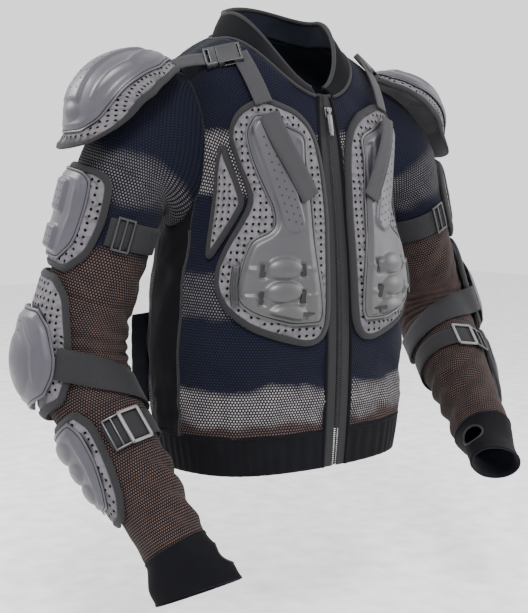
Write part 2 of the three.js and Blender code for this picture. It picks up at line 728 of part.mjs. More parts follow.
// Webbing from the plug to the neck side of the shoulder cup.
function shoulderStrap(arm) {
  const frame = buckleFrame(arm.side).matrixWorld;
  const from = vector(BUCKLE.plug + 2 * GAP + 0.3, 0, 0).applyMatrix4(frame);
  const across = vector(0, 1, 0).transformDirection(frame);
  const up = vector(0, 0, 1).transformDirection(frame);
  const to = cupPlace(arm)(6, -26, 4);
  const face = (lift) => [0, 0.25, 0.5, 0.75, 1].map((t) => {
    const centre = from.clone().lerp(to, t);
    centre.addScaledVector(up, lift + 3 * Math.sin(Math.PI * t));
    return [-12.5, 12.5].map((width) => centre.clone().addScaledVector(across, width));
  });
  return gridSolid(face(1), face(-1));
}

// ---------------------------------------------------------------- assembly
function buildTorso() {
  SIDES.forEach(([name, side]) => {
    add(`front_panel_${name}`, frontPanel(side), 'mesh');
    add(`side_panel_${name}`, sidePanel(side), 'lycra');
    add(`chest_pad_${name}`, chestPiece(CHEST_PAD, side, 6, guardLayers.pad), 'pad');
    add(`chest_shell_${name}`, chestPiece(CHEST_SHELL, side, 5, guardLayers.shell), 'shell');
    add(`rib_pad_${name}`, chestPiece(RIB_PAD, side, 3, guardLayers.pad), 'pad');
    add(`buckle_socket_${name}`, buckleSocket(side), 'buckle');
    add(`buckle_plug_${name}`, bucklePlug(side), 'buckle');
  });
  add('back_panel', backPanel(), 'mesh');
  add('collar', collar(), 'lycra');
  add('hem_band', hemBand(), 'lycra');
}

function buildZip() {
  add('front_zip', frontZip(), 'zip');
  add('zip_slider', zipSlider(), 'metal');
  const pull = add('zip_pull', zipPull(), 'metal');
  const holder = alongZip(SLIDER.z);
  pull.position.copy(holder.position);
  pull.rotation.copy(holder.rotation);
}

function buildBack() {
  add('kidney_belt', kidneyBelt(), 'webbing');
  add('spine_pad', spinePad(), 'pad');
  add('spine_plate_1', topSpinePlate(), 'shell');
  SPINE_PLATES.slice(1).forEach((span, i) => add(`spine_plate_${i + 2}`, spinePlate(span), 'shell'));
}

function buildArm(name, side) {
  const arm = makeArm(name, side);
  const [upper, bend, fore] = [upperPlace(arm), elbowPlace(arm), forePlace(arm)];
  const { pad, shell } = guardLayers;
  const named = (part) => `${part}_${name}`;
  add(named('sleeve_head'), sleeveHead(arm), 'mesh');
  add(named('upper_sleeve'), upperSleeve(arm), 'mesh');
  add(named('elbow_gusset'), elbowGusset(arm), 'mesh');
  add(named('forearm_sleeve'), forearmSleeve(arm), 'mesh');
  add(named('cuff'), cuff(arm), 'lycra');
  add(named('shoulder_pad'), cupPiece(arm, CUP_PAD, pad), 'pad');
  add(named('shoulder_shell'), cupPiece(arm, CUP_SHELL, shell), 'shell');
  add(named('shoulder_strap'), shoulderStrap(arm), 'webbing');
  add(named('upper_arm_pad'), armPiece(upper, UPPER_FACING, UPPER_PAD, 6, 7, pad), 'pad');
  add(named('upper_arm_shell'), armPiece(upper, UPPER_FACING, UPPER_SHELL, 5, 5, shell), 'shell');
  add(named('upper_arm_strap'), strapBand(upper, () => 156, 38, 120, 340), 'webbing');
  add(named('elbow_pad'), armPiece(bend, FORE_FACING, ELBOW_PAD, 8, 8, raised(pad, ELBOW_STAND_OFF.pad)), 'pad');
  add(named('elbow_shell'), armPiece(bend, FORE_FACING, ELBOW_SHELL, 6, 6, raised(shell, ELBOW_STAND_OFF.shell)), 'shell');
  const tilt = (angle) => 50 - 34 * Math.cos(angle - degrees(FORE_FACING));
  add(named('elbow_strap'), strapBand(bend, tilt, 42, FORE_FACING + 84, FORE_FACING + 276, 3), 'webbing');
  add(named('forearm_pad'), armPiece(fore, FORE_FACING, FORE_PAD, 6, 7, pad), 'pad');
  add(named('forearm_shell'), armPiece(fore, FORE_FACING, FORE_SHELL, 5, 5, shell), 'shell');
  add(named('forearm_strap'), strapBand(fore, () => 132, 36, FORE_FACING + 68, FORE_FACING + 292), 'webbing');
}

buildTorso();
buildZip();
buildBack();
SIDES.forEach(([name, side]) => buildArm(name, side));

export default jacket;
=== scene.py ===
"""Armoured mesh riding jacket: the looks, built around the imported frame.

Every sub-assembly is a class that lays its pieces on the same torso and arm forms as the frame.
Lengths are in millimetres until a mesh is made, and in metres from there on.
"""

import logging
import math
from dataclasses import dataclass
from enum import Enum
from typing import Callable, Optional, Sequence

import bmesh
import bpy
import numpy as np
from mathutils import Matrix, Vector
from mathutils.geometry import delaunay_2d_cdt


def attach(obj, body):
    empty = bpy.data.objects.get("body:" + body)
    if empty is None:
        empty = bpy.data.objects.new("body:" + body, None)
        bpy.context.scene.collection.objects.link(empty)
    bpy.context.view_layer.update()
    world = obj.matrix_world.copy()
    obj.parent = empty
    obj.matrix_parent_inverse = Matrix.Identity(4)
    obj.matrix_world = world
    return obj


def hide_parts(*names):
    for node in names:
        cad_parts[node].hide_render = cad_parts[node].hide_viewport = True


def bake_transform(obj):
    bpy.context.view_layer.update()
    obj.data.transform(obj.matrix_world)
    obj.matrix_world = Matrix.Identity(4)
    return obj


logging.basicConfig(level=logging.INFO, format="%(message)s")
log = logging.getLogger("jacket")

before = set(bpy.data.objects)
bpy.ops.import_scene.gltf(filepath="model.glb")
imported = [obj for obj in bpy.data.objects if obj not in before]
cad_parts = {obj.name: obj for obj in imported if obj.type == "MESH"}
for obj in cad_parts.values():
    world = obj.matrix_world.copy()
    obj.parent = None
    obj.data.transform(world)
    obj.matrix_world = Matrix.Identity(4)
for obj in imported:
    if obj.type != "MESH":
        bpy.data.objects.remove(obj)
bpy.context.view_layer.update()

MM = 0.001
Array = np.ndarray
Place = Callable[[Array, Array, Array], Array]


class Side(Enum):
    """The wearer's right arm is at -X and the left arm at +X."""

    RIGHT = -1
    LEFT = 1

    @property
    def word(self) -> str:
        """The side's name as the frame writes it."""
        return self.name.lower()


# ---------------------------------------------------------------------------- forms
def smoothstep(x: Array, low: float, high: float) -> Array:
    """Returns: a smooth rise from 0 at low to 1 at high."""
    t = np.clip((np.asarray(x, float) - low) / (high - low), 0, 1)
    return t * t * (3 - 2 * t)


def mix(a: float, b: float, t: Array) -> Array:
    """Returns: the value from a, at t = 0, to b, at t = 1."""
    return a + (b - a) * t


def unit(v: Sequence[float]) -> Array:
    """The vector scaled to length one."""
    v = np.asarray(v, float)
    return v / np.linalg.norm(v, axis=-1, keepdims=True)


def spline(p0: Array, p1: Array, p2: Array, p3: Array, t: Array) -> Array:
    """The smooth curve from p1 to p2 that heads for p0 and p3 beyond them."""
    return 0.5 * (2 * p1 + (p2 - p0) * t + (2 * p0 - 5 * p1 + 4 * p2 - p3) * t**2
                  + (3 * p1 - p0 - 3 * p2 + p3) * t**3)


def extended(rows: Array) -> Array:
    """The rows with one more at each end, in line with the last two."""
    return np.vstack([2 * rows[0] - rows[1], rows, 2 * rows[-1] - rows[-2]])


def travelled(line: Array) -> Array:
    """How far along a line each of its points is."""
    return np.concatenate([[0], np.cumsum(np.linalg.norm(np.diff(line, axis=0), axis=1))])


def sampled(line: Array, length: Array, at: Array) -> Array:
    """The points of a line at distances along it, given how far along its own points are."""
    return np.stack([np.interp(at, length, column) for column in line.T], 1)


def across_line(line: Array, up: Array) -> Array:
    """The directions across a line on a surface."""
    return unit(np.cross(np.gradient(line, axis=0), up))


def laid(place: Place, flat: Array, height: Array) -> Array:
    """Flat points placed on a form, at one height or at a height each."""
    return place(flat[..., 0], flat[..., 1], np.broadcast_to(height, flat.shape[:-1]))


HALVINGS = 26


class TorsoForm:
    """The worn shape of the body panels: rings from the collar seam down to the hem."""

    rings = np.array([
        (84, 66, -52, 32, 52), (114, 82, -68, 20, 38), (142, 95, -92, 4, 16), (160, 103, -124, -16, -14),
        (163, 109, -180, -110, -100), (166, 113, -225, -185, -178), (182, 116, -285, -262, -255),
        (197, 116, -370, -362, -358), (199, 111, -455, -452, -450), (195, 107, -520, -520, -520),
        (187, 102, -572, -572, -572),
    ], float)
    squareness = 0.18
    arc_radius, arc_y, arc_z = 1687.0, 1538.7, -394.6
    collar_seam, hem_seam, hem_end = 0.3, 9.0, 9.99

    def ring(self, v: Array) -> Array:
        """The half width, back depth and three heights of the ring at v."""
        padded = extended(self.rings)
        v = np.clip(v, 0, len(self.rings) - 1 - 1e-6)
        i = v.astype(int)
        return spline(*(padded[i + k] for k in range(4)), (v - i)[..., None])

    def front_depth(self, z: Array) -> Array:
        """How far the front edge stands forward at a height."""
        return np.sqrt(self.arc_radius**2 - (z - self.arc_z)**2) - self.arc_y

    def skin(self, theta: Array, v: Array) -> Array:
        """The point of the form at an angle from the front centre, on ring v."""
        theta, v = np.broadcast_arrays(np.asarray(theta, float), np.asarray(v, float))
        width, back, z_front, z_side, z_back = np.moveaxis(self.ring(v), -1, 0)
        c, s = np.cos(theta), np.sin(theta)
        depth = np.where(c > 0, self.front_depth(z_front), back)
        z = z_side + (z_front - z_side) * np.maximum(c, 0)**2 + (z_back - z_side) * np.maximum(-c, 0)**2
        q = self.squareness
        return np.stack([width * s * (1 + q * c * c), -depth * c * (1 + q * s * s), z], -1)

    def normal(self, theta: Array, v: Array) -> Array:
        """The outward normal of the form."""
        step = 1e-3
        down = self.skin(theta, np.asarray(v) + step) - self.skin(theta, np.asarray(v) - step)
        around = self.skin(np.asarray(theta) + step, v) - self.skin(np.asarray(theta) - step, v)
        return unit(np.cross(down, around))

    def by_ring(self, theta: Array, v: Array, offset: Array) -> Array:
        """A point laid on ring v, lifted off the form."""
        v = np.clip(v, 0.002, len(self.rings) - 1.002)
        return self.skin(theta, v) + self.normal(theta, v) * np.asarray(offset, float)[..., None]

    @staticmethod
    def _halved(shape: tuple, top: float, short: Callable[[Array], Array]) -> Array:
        """The values between 0 and top where short stops being true, found by halving."""
        low, high = np.zeros(shape), np.full(shape, top)
        for _ in range(HALVINGS):
            middle = (low + high) / 2
            more = short(middle)
            low, high = np.where(more, middle, low), np.where(more, high, middle)
        return low

    def ring_at(self, theta: Array, z: Array) -> Array:
        """The ring that passes a height at an angle."""
        theta, z = np.broadcast_arrays(np.asarray(theta, float), np.asarray(z, float))
        return self._halved(theta.shape, 10.0, lambda v: self.skin(theta, v)[..., 2] > z)

    def by_height(self, theta: Array, z: Array, offset: Array) -> Array:
        """A point laid at a height, lifted off the form."""
        return self.by_ring(theta, self.ring_at(theta, z), offset)

    def half_width(self, y: Array, z: Array) -> Array:
        """How far to the side the form is at a depth and a height."""
        y, z = np.broadcast_arrays(np.asarray(y, float), np.asarray(z, float))
        v = self._halved(y.shape, 10.0, lambda v: self.skin(self._angle(y, v), v)[..., 2] > z)
        return self.skin(self._angle(y, v), v)[..., 0]

    def _angle(self, y: Array, v: Array) -> Array:
        """The angle on ring v at a depth."""
        return self._halved(y.shape, math.pi, lambda theta: self.skin(theta, v)[..., 1] < y)


TORSO = TorsoForm()
SHOULDER_X, SHOULDER_Z = 226.0, -86.0
UPPER_LENGTH, FOREARM_LENGTH, GUSSET, CUFF_START = 345.0, 358.0, 92.0, 292.0
ARM_DIRECTIONS = {
    Side.RIGHT: ((-82, 60, -338), (70, -206, -288)),
    Side.LEFT: ((148, 40, -294), (-134, -265, -195)),
}
UPPER_FACING, FORE_FACING = 50, 42
GUARD_SHARE = 0.5
SHOULDER_RADIUS, ELBOW_RADIUS, WRIST_RADIUS = 72, 60, 44
CUP_LATERAL, CUP_FRONT, CUP_UP, CUP_FLARE = 92, 76, 73, 62
CUFF_HALF_WIDE, CUFF_HALF_DEEP, THUMB_ALONG = 57, 31, 330
# The radii that turn angles round a form into lengths.
CHEST_ROUND, BACK_ROUND, CUP_ROUND, BAND_ROUND = 185, 110, 84, 64
ARMHOLE_RING = 5.0
ARMHOLE_Y, ARMHOLE_Z, ARMHOLE_DEPTH, ARMHOLE_HEIGHT = 8.0, -128.0, 58.0, 106.0


class ArmForm:
    """The centre line and thickness of one arm. Along runs from the elbow, negative on the upper arm."""

    def __init__(self, side: Side) -> None:
        """Args: side: the arm to describe."""
        self.side = side
        self.upper, self.fore = (unit(d) for d in ARM_DIRECTIONS[side])
        self.shoulder = np.array([side.value * SHOULDER_X, 0, SHOULDER_Z])
        self.elbow = self.shoulder + self.upper * UPPER_LENGTH
        flex = unit(np.cross(self.upper, self.fore))
        self.lateral = flex * side.value * np.sign(flex[0])
        dot = self.upper @ self.fore
        self.back_upper = -unit(self.fore - dot * self.upper)
        self.back_fore = unit(self.upper - dot * self.fore)

    def radius(self, along: Array) -> Array:
        """The radius of the sleeve."""
        down = np.clip((along + UPPER_LENGTH) / (UPPER_LENGTH - GUSSET), 0, 1)
        upper = mix(SHOULDER_RADIUS, ELBOW_RADIUS, np.sqrt(down))
        fore = mix(ELBOW_RADIUS, WRIST_RADIUS, smoothstep(along, 40, CUFF_START))
        return mix(upper, fore, np.clip((along + GUSSET) / (2 * GUSSET), 0, 1))

    def place(self, angle: Array, along: Array, offset: Array) -> Array:
        """A point of the sleeve: angle 0 is the back of the arm, a quarter turn its outer side."""
        angle, along, offset = np.broadcast_arrays(*(np.asarray(x, float) for x in (angle, along, offset)))
        t = np.clip((along + GUSSET) / (2 * GUSSET), 0, 1)[..., None]
        past = (along - np.clip(along, -GUSSET, GUSSET))[..., None]
        centre = (self.elbow - self.upper * GUSSET * (1 - t)**2 + self.fore * GUSSET * t * t
                  + np.where(past < 0, self.upper, self.fore) * past)
        back = unit(self.back_upper * (1 - t) + self.back_fore * t)
        bulge = 14 * np.sin(np.pi * t[..., 0])**2 * np.maximum(np.cos(angle), 0)
        radius = (self.radius(along) + bulge + offset)[..., None]
        return centre + radius * (back * np.cos(angle)[..., None] + self.lateral * np.sin(angle)[..., None])

    def cup(self, swing: Array, rise: Array, offset: Array) -> Array:
        """A point of the shoulder cup, both angles in degrees. Past a quarter turn it hangs and flares out."""
        a, b, offset = np.broadcast_arrays(np.radians(rise), np.radians(swing), np.asarray(offset, float))
        hang = np.maximum(0, a - math.pi / 2)
        return self.shoulder + np.stack([
            self.side.value * ((CUP_LATERAL + offset) * np.sin(a - hang) + CUP_FLARE * hang**2) * np.cos(b),
            -(CUP_FRONT + offset) * np.sin(b),
            ((CUP_UP + offset) * np.cos(a - hang) - CUP_UP * hang) * np.cos(b)], -1)

    def head_end(self, angle: Array) -> Array:
        """Where the sleeve head stops, from the elbow."""
        return 100 - 28 * np.sin(angle) - UPPER_LENGTH

    def hand(self) -> tuple[Array, Array]:
        """Returns: the wide and the flat axis of the hand."""
        wide = unit(-0.458 * self.lateral - 0.889 * self.back_fore)
        return wide, unit(np.cross(wide, self.fore))


# ---------------------------------------------------------------------------- meshes
def make_object(name: str, points: Array, faces: list, uv: Optional[Array] = None,
                materials: Sequence[bpy.types.Material] = (), index: Optional[Sequence[int]] = None,
                smooth: bool = True) -> bpy.types.Object:
    """Makes a piece from points in millimetres.

    Args:
        name: the piece's name.
        points: one row per vertex.
        faces: vertex numbers of each face.
        uv: one row per vertex, in millimetres, stored at a hundredth.
        materials: the finishes of the piece.
        index: which finish each face has.
        smooth: whether the faces are shaded smooth.
    Returns:
        The new object, at the origin.
    """
    mesh = bpy.data.meshes.new(name)
    mesh.from_pydata((np.asarray(points) * MM).tolist(), [], faces)
    if uv is not None:
        layer = mesh.uv_layers.new(name="cloth")
        corners = np.zeros(len(mesh.loops), int)
        mesh.loops.foreach_get("vertex_index", corners)
        layer.data.foreach_set("uv", (np.asarray(uv, float)[corners] / 100).ravel())
    for material in materials:
        mesh.materials.append(material)
    if index is not None:
        mesh.polygons.foreach_set("material_index", index)
    mesh.polygons.foreach_set("use_smooth", [smooth] * len(mesh.polygons))
    mesh.update()
    piece = bpy.data.objects.new(name, mesh)
    bpy.context.scene.collection.objects.link(piece)
    return piece


def turn_outward(piece: bpy.types.Object) -> bpy.types.Object:
    """Turns the faces of a closed mesh outward. Returns: the same piece."""
    bm = bmesh.new()
    bm.from_mesh(piece.data)
    bmesh.ops.recalc_face_normals(bm, faces=bm.faces)
    if bm.calc_volume(signed=True) < 0:
        bmesh.ops.reverse_faces(bm, faces=bm.faces)
    bm.to_mesh(piece.data)
    bm.free()
    return piece


def wall_faces(rows: int, columns: int, around: bool) -> tuple[list, list]:
    """Faces of a closed wall between two grids, one grid after the other.

    Returns:
        The faces, and 0 for an outer face, 1 for an inner one.
    """
    spans = columns if around else columns - 1
    def on(r: int, c: int) -> int:
        """The number of a point of the first grid."""
        return r * columns + c % columns
    def under(r: int, c: int) -> int:
        """The number of a point of the second grid."""
        return rows * columns + on(r, c)
    faces, index = [], []
    for r in range(rows - 1):
        for c in range(spans):
            faces.append((on(r, c), on(r, c + 1), on(r + 1, c + 1), on(r + 1, c)))
            faces.append((under(r, c), under(r + 1, c), under(r + 1, c + 1), under(r, c + 1)))
            index += [0, 1]
    for c in range(spans):
        faces.append((on(0, c + 1), on(0, c), under(0, c), under(0, c + 1)))
        last = rows - 1
        faces.append((on(last, c), on(last, c + 1), under(last, c + 1), under(last, c)))
        index += [0, 0]
    if not around:
        last = columns - 1
        for r in range(rows - 1):
            faces.append((on(r, 0), on(r + 1, 0), under(r + 1, 0), under(r, 0)))
            faces.append((on(r + 1, last), on(r, last), under(r, last), under(r + 1, last)))
            index += [0, 0]
    return faces, index


@dataclass
class Cloth:
    """A sheet of cloth laid on a form: its grid, outward directions and surface coordinates."""

    name: str
    points: Array
    outward: Array
    uv: Array
    lift: Array
    thickness: float = 2.0
    around: bool = False

    def build(self, outer: bpy.types.Material, inner: bpy.types.Material) -> bpy.types.Object:
        """Makes the sheet as a closed thin wall."""
        top = self.points + self.outward * self.lift[..., None]
        under = top - self.outward * self.thickness
        rows, columns = top.shape[:2]
        faces, index = wall_faces(rows, columns, self.around)
        points = np.concatenate([top.reshape(-1, 3), under.reshape(-1, 3)])
        uv = np.concatenate([self.uv.reshape(-1, 2)] * 2)
        return turn_outward(make_object(self.name, points, faces, uv, (outer, inner), index))

    def flat_size(self) -> tuple[float, float, float]:
        """Returns: the width, length and area of the cut cloth, in metres."""
        ring = np.concatenate([self.points, self.points[:, :1]], 1) if self.around else self.points
        across = np.linalg.norm(np.diff(ring, axis=1), axis=2)
        down = np.linalg.norm(np.diff(self.points, axis=0), axis=2)
        width, length = across.sum(1).max(), down.sum(0).max()
        area = (across[:-1] + across[1:]).mean() / 2 * down.mean() * across[:-1].size
        return width * MM, length * MM, min(area * MM * MM, width * length * MM * MM)


def grid(place: Place, a: Array, b: Array) -> tuple[Array, Array]:
    """Returns: the points of a grid on a form and their outward directions."""
    zero = np.zeros(a.shape)
    points = place(a, b, zero)
    return points, unit(place(a, b, zero + 1) - points)


def sweep(name: str, line: Array, across: Array, up: Array, profile: Array, material: bpy.types.Material,
          closed: bool = False) -> bpy.types.Object:
    """Sweeps a closed profile along a line.

    Args:
        name: the piece's name.
        line: the points of the line.
        across: the direction of the profile's first coordinate at each point.
        up: the direction of its second coordinate.
        profile: the profile, one row of two numbers per corner, or one such list per point of the line.
        material: the finish.
        closed: whether the line closes on itself.
    """
    profile = np.broadcast_to(profile, (len(line),) + np.shape(profile)[-2:])
    points = (line[:, None] + across[:, None] * profile[..., :1] + up[:, None] * profile[..., 1:])
    n, m = points.shape[:2]
    faces = []
    for i in range(n if closed else n - 1):
        j = (i + 1) % n
        faces += [(i * m + k, i * m + (k + 1) % m, j * m + (k + 1) % m, j * m + k) for k in range(m)]
    if not closed:
        faces += [tuple(range(m)), tuple(range((n - 1) * m, n * m))[::-1]]
    uv = np.stack(np.broadcast_arrays(travelled(line)[:, None], travelled(profile[0])[None]), -1)
    return turn_outward(make_object(name, points.reshape(-1, 3), faces, uv.reshape(-1, 2), (material,)))


def seam_sweep(name: str, line: Array, up: Array, profile: Array, material: bpy.types.Material
               ) -> bpy.types.Object:
    """Sweeps a profile along a line on a surface."""
    return sweep(name, line, across_line(line, up), up, profile, material)


def piping_profile(half: float, low: float, side: float, top: float) -> Array:
    """The section of piping: flat below and rounded on top."""
    return np.array([(-half, low), (half, low), (half - 0.4, side), (0, top), (0.4 - half, side)])


def round_profile(radius: float, corners: int) -> Array:
    """The section of a round cord."""
    return np.array([(radius * math.cos(a), radius * math.sin(a))
                     for a in np.arange(corners) * 2 * math.pi / corners])


def tape_profile(width: float, thickness: float, low: float = 0.0) -> Array:
    """The section of flat webbing with rounded edges."""
    half, r = width / 2, thickness / 2
    return np.array([(-half + r, low), (half - r, low), (half, low + r), (half - r, low + thickness),
                     (half * 0.5, low + thickness), (-half * 0.5, low + thickness),
                     (-half + r, low + thickness), (-half, low + r)])


def joined(name: str, pieces: Sequence[bpy.types.Object]) -> bpy.types.Object:
    """Joins pieces into one."""
    bpy.ops.object.select_all(action="DESELECT")
    for piece in pieces:
        piece.select_set(True)
    bpy.context.view_layer.objects.active = pieces[0]
    bpy.ops.object.join()
    pieces[0].name = pieces[0].data.name = name
    return pieces[0]


def finish_modifier(piece: bpy.types.Object, kind: str, **values: object) -> None:
    """Adds a modifier and applies it."""
    bpy.ops.object.select_all(action="DESELECT")
    piece.select_set(True)
    bpy.context.view_layer.objects.active = piece
    modifier = piece.modifiers.new(kind.lower(), kind)
    for key, value in values.items():
        setattr(modifier, key, value)
    bpy.ops.object.modifier_apply(modifier=modifier.name)


def moulded_block(name: str, size: Sequence[float], centre: Sequence[float], place: Matrix,
                  material: bpy.types.Material, bevel: float = 1.2, recess: float = 0.0) -> bpy.types.Object:
    """A moulded block with rounded edges, modelled from a cube.

    Args:
        name: the piece's name.
        size: its three sides.
        centre: its middle, in the frame of place.
        place: the frame that it stands in, in millimetres.
        material: the finish.
        bevel: the radius of its edges.
        recess: how deep its top face is sunk inside a rim.
    """
    bpy.ops.object.select_all(action="DESELECT")
    bpy.ops.mesh.primitive_cube_add(size=1)
    piece = bpy.context.active_object
    piece.name = piece.data.name = name
    piece.data.transform(Matrix.Diagonal((*size, 1)))
    if recess:
        for polygon in piece.data.polygons:
            polygon.select = polygon.normal.z > 0.9
        bpy.ops.object.mode_set(mode="EDIT")
        bpy.ops.mesh.select_mode(type="FACE")
        bpy.ops.mesh.inset(thickness=min(size[0], size[1]) * 0.14)
        bpy.ops.transform.translate(value=(0, 0, -recess))
        bpy.ops.object.mode_set(mode="OBJECT")
    finish_modifier(piece, "BEVEL", width=bevel, segments=3, limit_method="ANGLE")
    piece.data.transform(place @ Matrix.Translation(Vector(centre)))
    piece.data.transform(Matrix.Scale(MM, 4))
    piece.data.materials.append(material)
    bpy.ops.object.select_all(action="DESELECT")
    piece.select_set(True)
    bpy.ops.object.shade_smooth_by_angle(angle=math.radians(40))
    return piece


def frame_matrix(origin: Array, x: Array, y: Array, z: Array) -> Matrix:
    """A matrix from an origin and three axes."""
    return Matrix([[x[i], y[i], z[i], origin[i]] for i in range(3)] + [[0, 0, 0, 1]])


def dots(name: str, centres: Array, normals: Array, radius: float, material: bpy.types.Material,
         height: float) -> bpy.types.Object:
    """Small round plugs set into a surface; in the near-black finish they are painted shade that stands for
    drilled holes.
    """
    points, faces = [], []
    angles = np.linspace(0, 2 * np.pi, 9)[:-1]
    for centre, normal in zip(centres, normals):
        side = unit(np.cross(normal, (0.31, 0.22, 0.93)))
        other = np.cross(normal, side)
        start = len(points)
        for lift in (-1.0, height):
            points += [centre + normal * lift + radius * (side * math.cos(a) + other * math.sin(a))
                       for a in angles]
        faces += [tuple(start + k for k in range(7, -1, -1)), tuple(start + 8 + k for k in range(8))]
        faces += [(start + k, start + (k + 1) % 8, start + 8 + (k + 1) % 8, start + 8 + k) for k in range(8)]
    return make_object(name, np.array(points), faces, None, (material,), None, False)


# ---------------------------------------------------------------------------- outlines
CURVE_SHARE = 0.7


def outline_rows(rows: Sequence[Sequence[float]], step: float = 4.0) -> Array:
    """Rows of height, left edge and right edge, drawn smoothly through a short list of them."""
    rows = np.array(rows, float)
    padded = extended(rows)
    out = []
    for i, (start, stop) in enumerate(zip(rows, rows[1:])):
        count = max(2, int(abs(stop[0] - start[0]) / step) + 1)
        t = np.arange(count)[:, None] / count
        out.append(mix(mix(start, stop, t), spline(*padded[i:i + 4], t), CURVE_SHARE))
    return np.vstack(out + [rows[-1:]])


def closed_outline(rows: Array, step: float = 4.0, rounding: int = 3) -> Array:
    """The closed outline of a list of rows, evenly spaced, with its corners rounded off."""
    left, right = rows[:, [1, 0]], rows[::-1][:, [2, 0]]
    loop = np.vstack([left, right])
    loop = np.vstack([loop, loop[:1]])
    length = travelled(loop)
    count = int(length[-1] / step)
    even = sampled(loop, length, np.arange(count) * length[-1] / count)
    for _ in range(rounding):
        even = (np.roll(even, 1, 0) + 2 * even + np.roll(even, -1, 0)) / 4
    return even


def clearance(points: Array, outline: Array) -> Array:
    """How far inside a closed outline each point is; negative outside."""
    a, b = outline, np.roll(outline, -1, 0)
    edge = b - a
    flat = points.reshape(-1, 2)
    best = np.full(len(flat), 1e9)
    crossings = np.zeros(len(flat), int)
    for start, stop, along in zip(a, b, edge):
        t = np.clip(((flat - start) @ along) / max(along @ along, 1e-9), 0, 1)
        best = np.minimum(best, np.linalg.norm(flat - start - t[:, None] * along, axis=1))
        spans = (start[1] > flat[:, 1]) != (stop[1] > flat[:, 1])
        slope = (flat[:, 1] - start[1]) / (along[1] if abs(along[1]) > 1e-12 else 1e-12)
        crossings += spans & (flat[:, 0] < start[0] + slope * along[0])
    return np.where(crossings % 2 == 1, best, -best).reshape(points.shape[:-1])


def inward_normals(outline: Array) -> Array:
    """Directions that point into a closed outline."""
    tangent = np.roll(outline, -1, 0) - np.roll(outline, 1, 0)
    area = np.sum(outline[:, 0] * np.roll(outline[:, 1], -1) - np.roll(outline[:, 0], -1) * outline[:, 1])
    normal = unit(np.stack([-tangent[:, 1], tangent[:, 0]], 1)) * (1 if area > 0 else -1)
    for _ in range(2):
        normal = unit(np.roll(normal, 1, 0) + 2 * normal + np.roll(normal, -1, 0))
    return normal


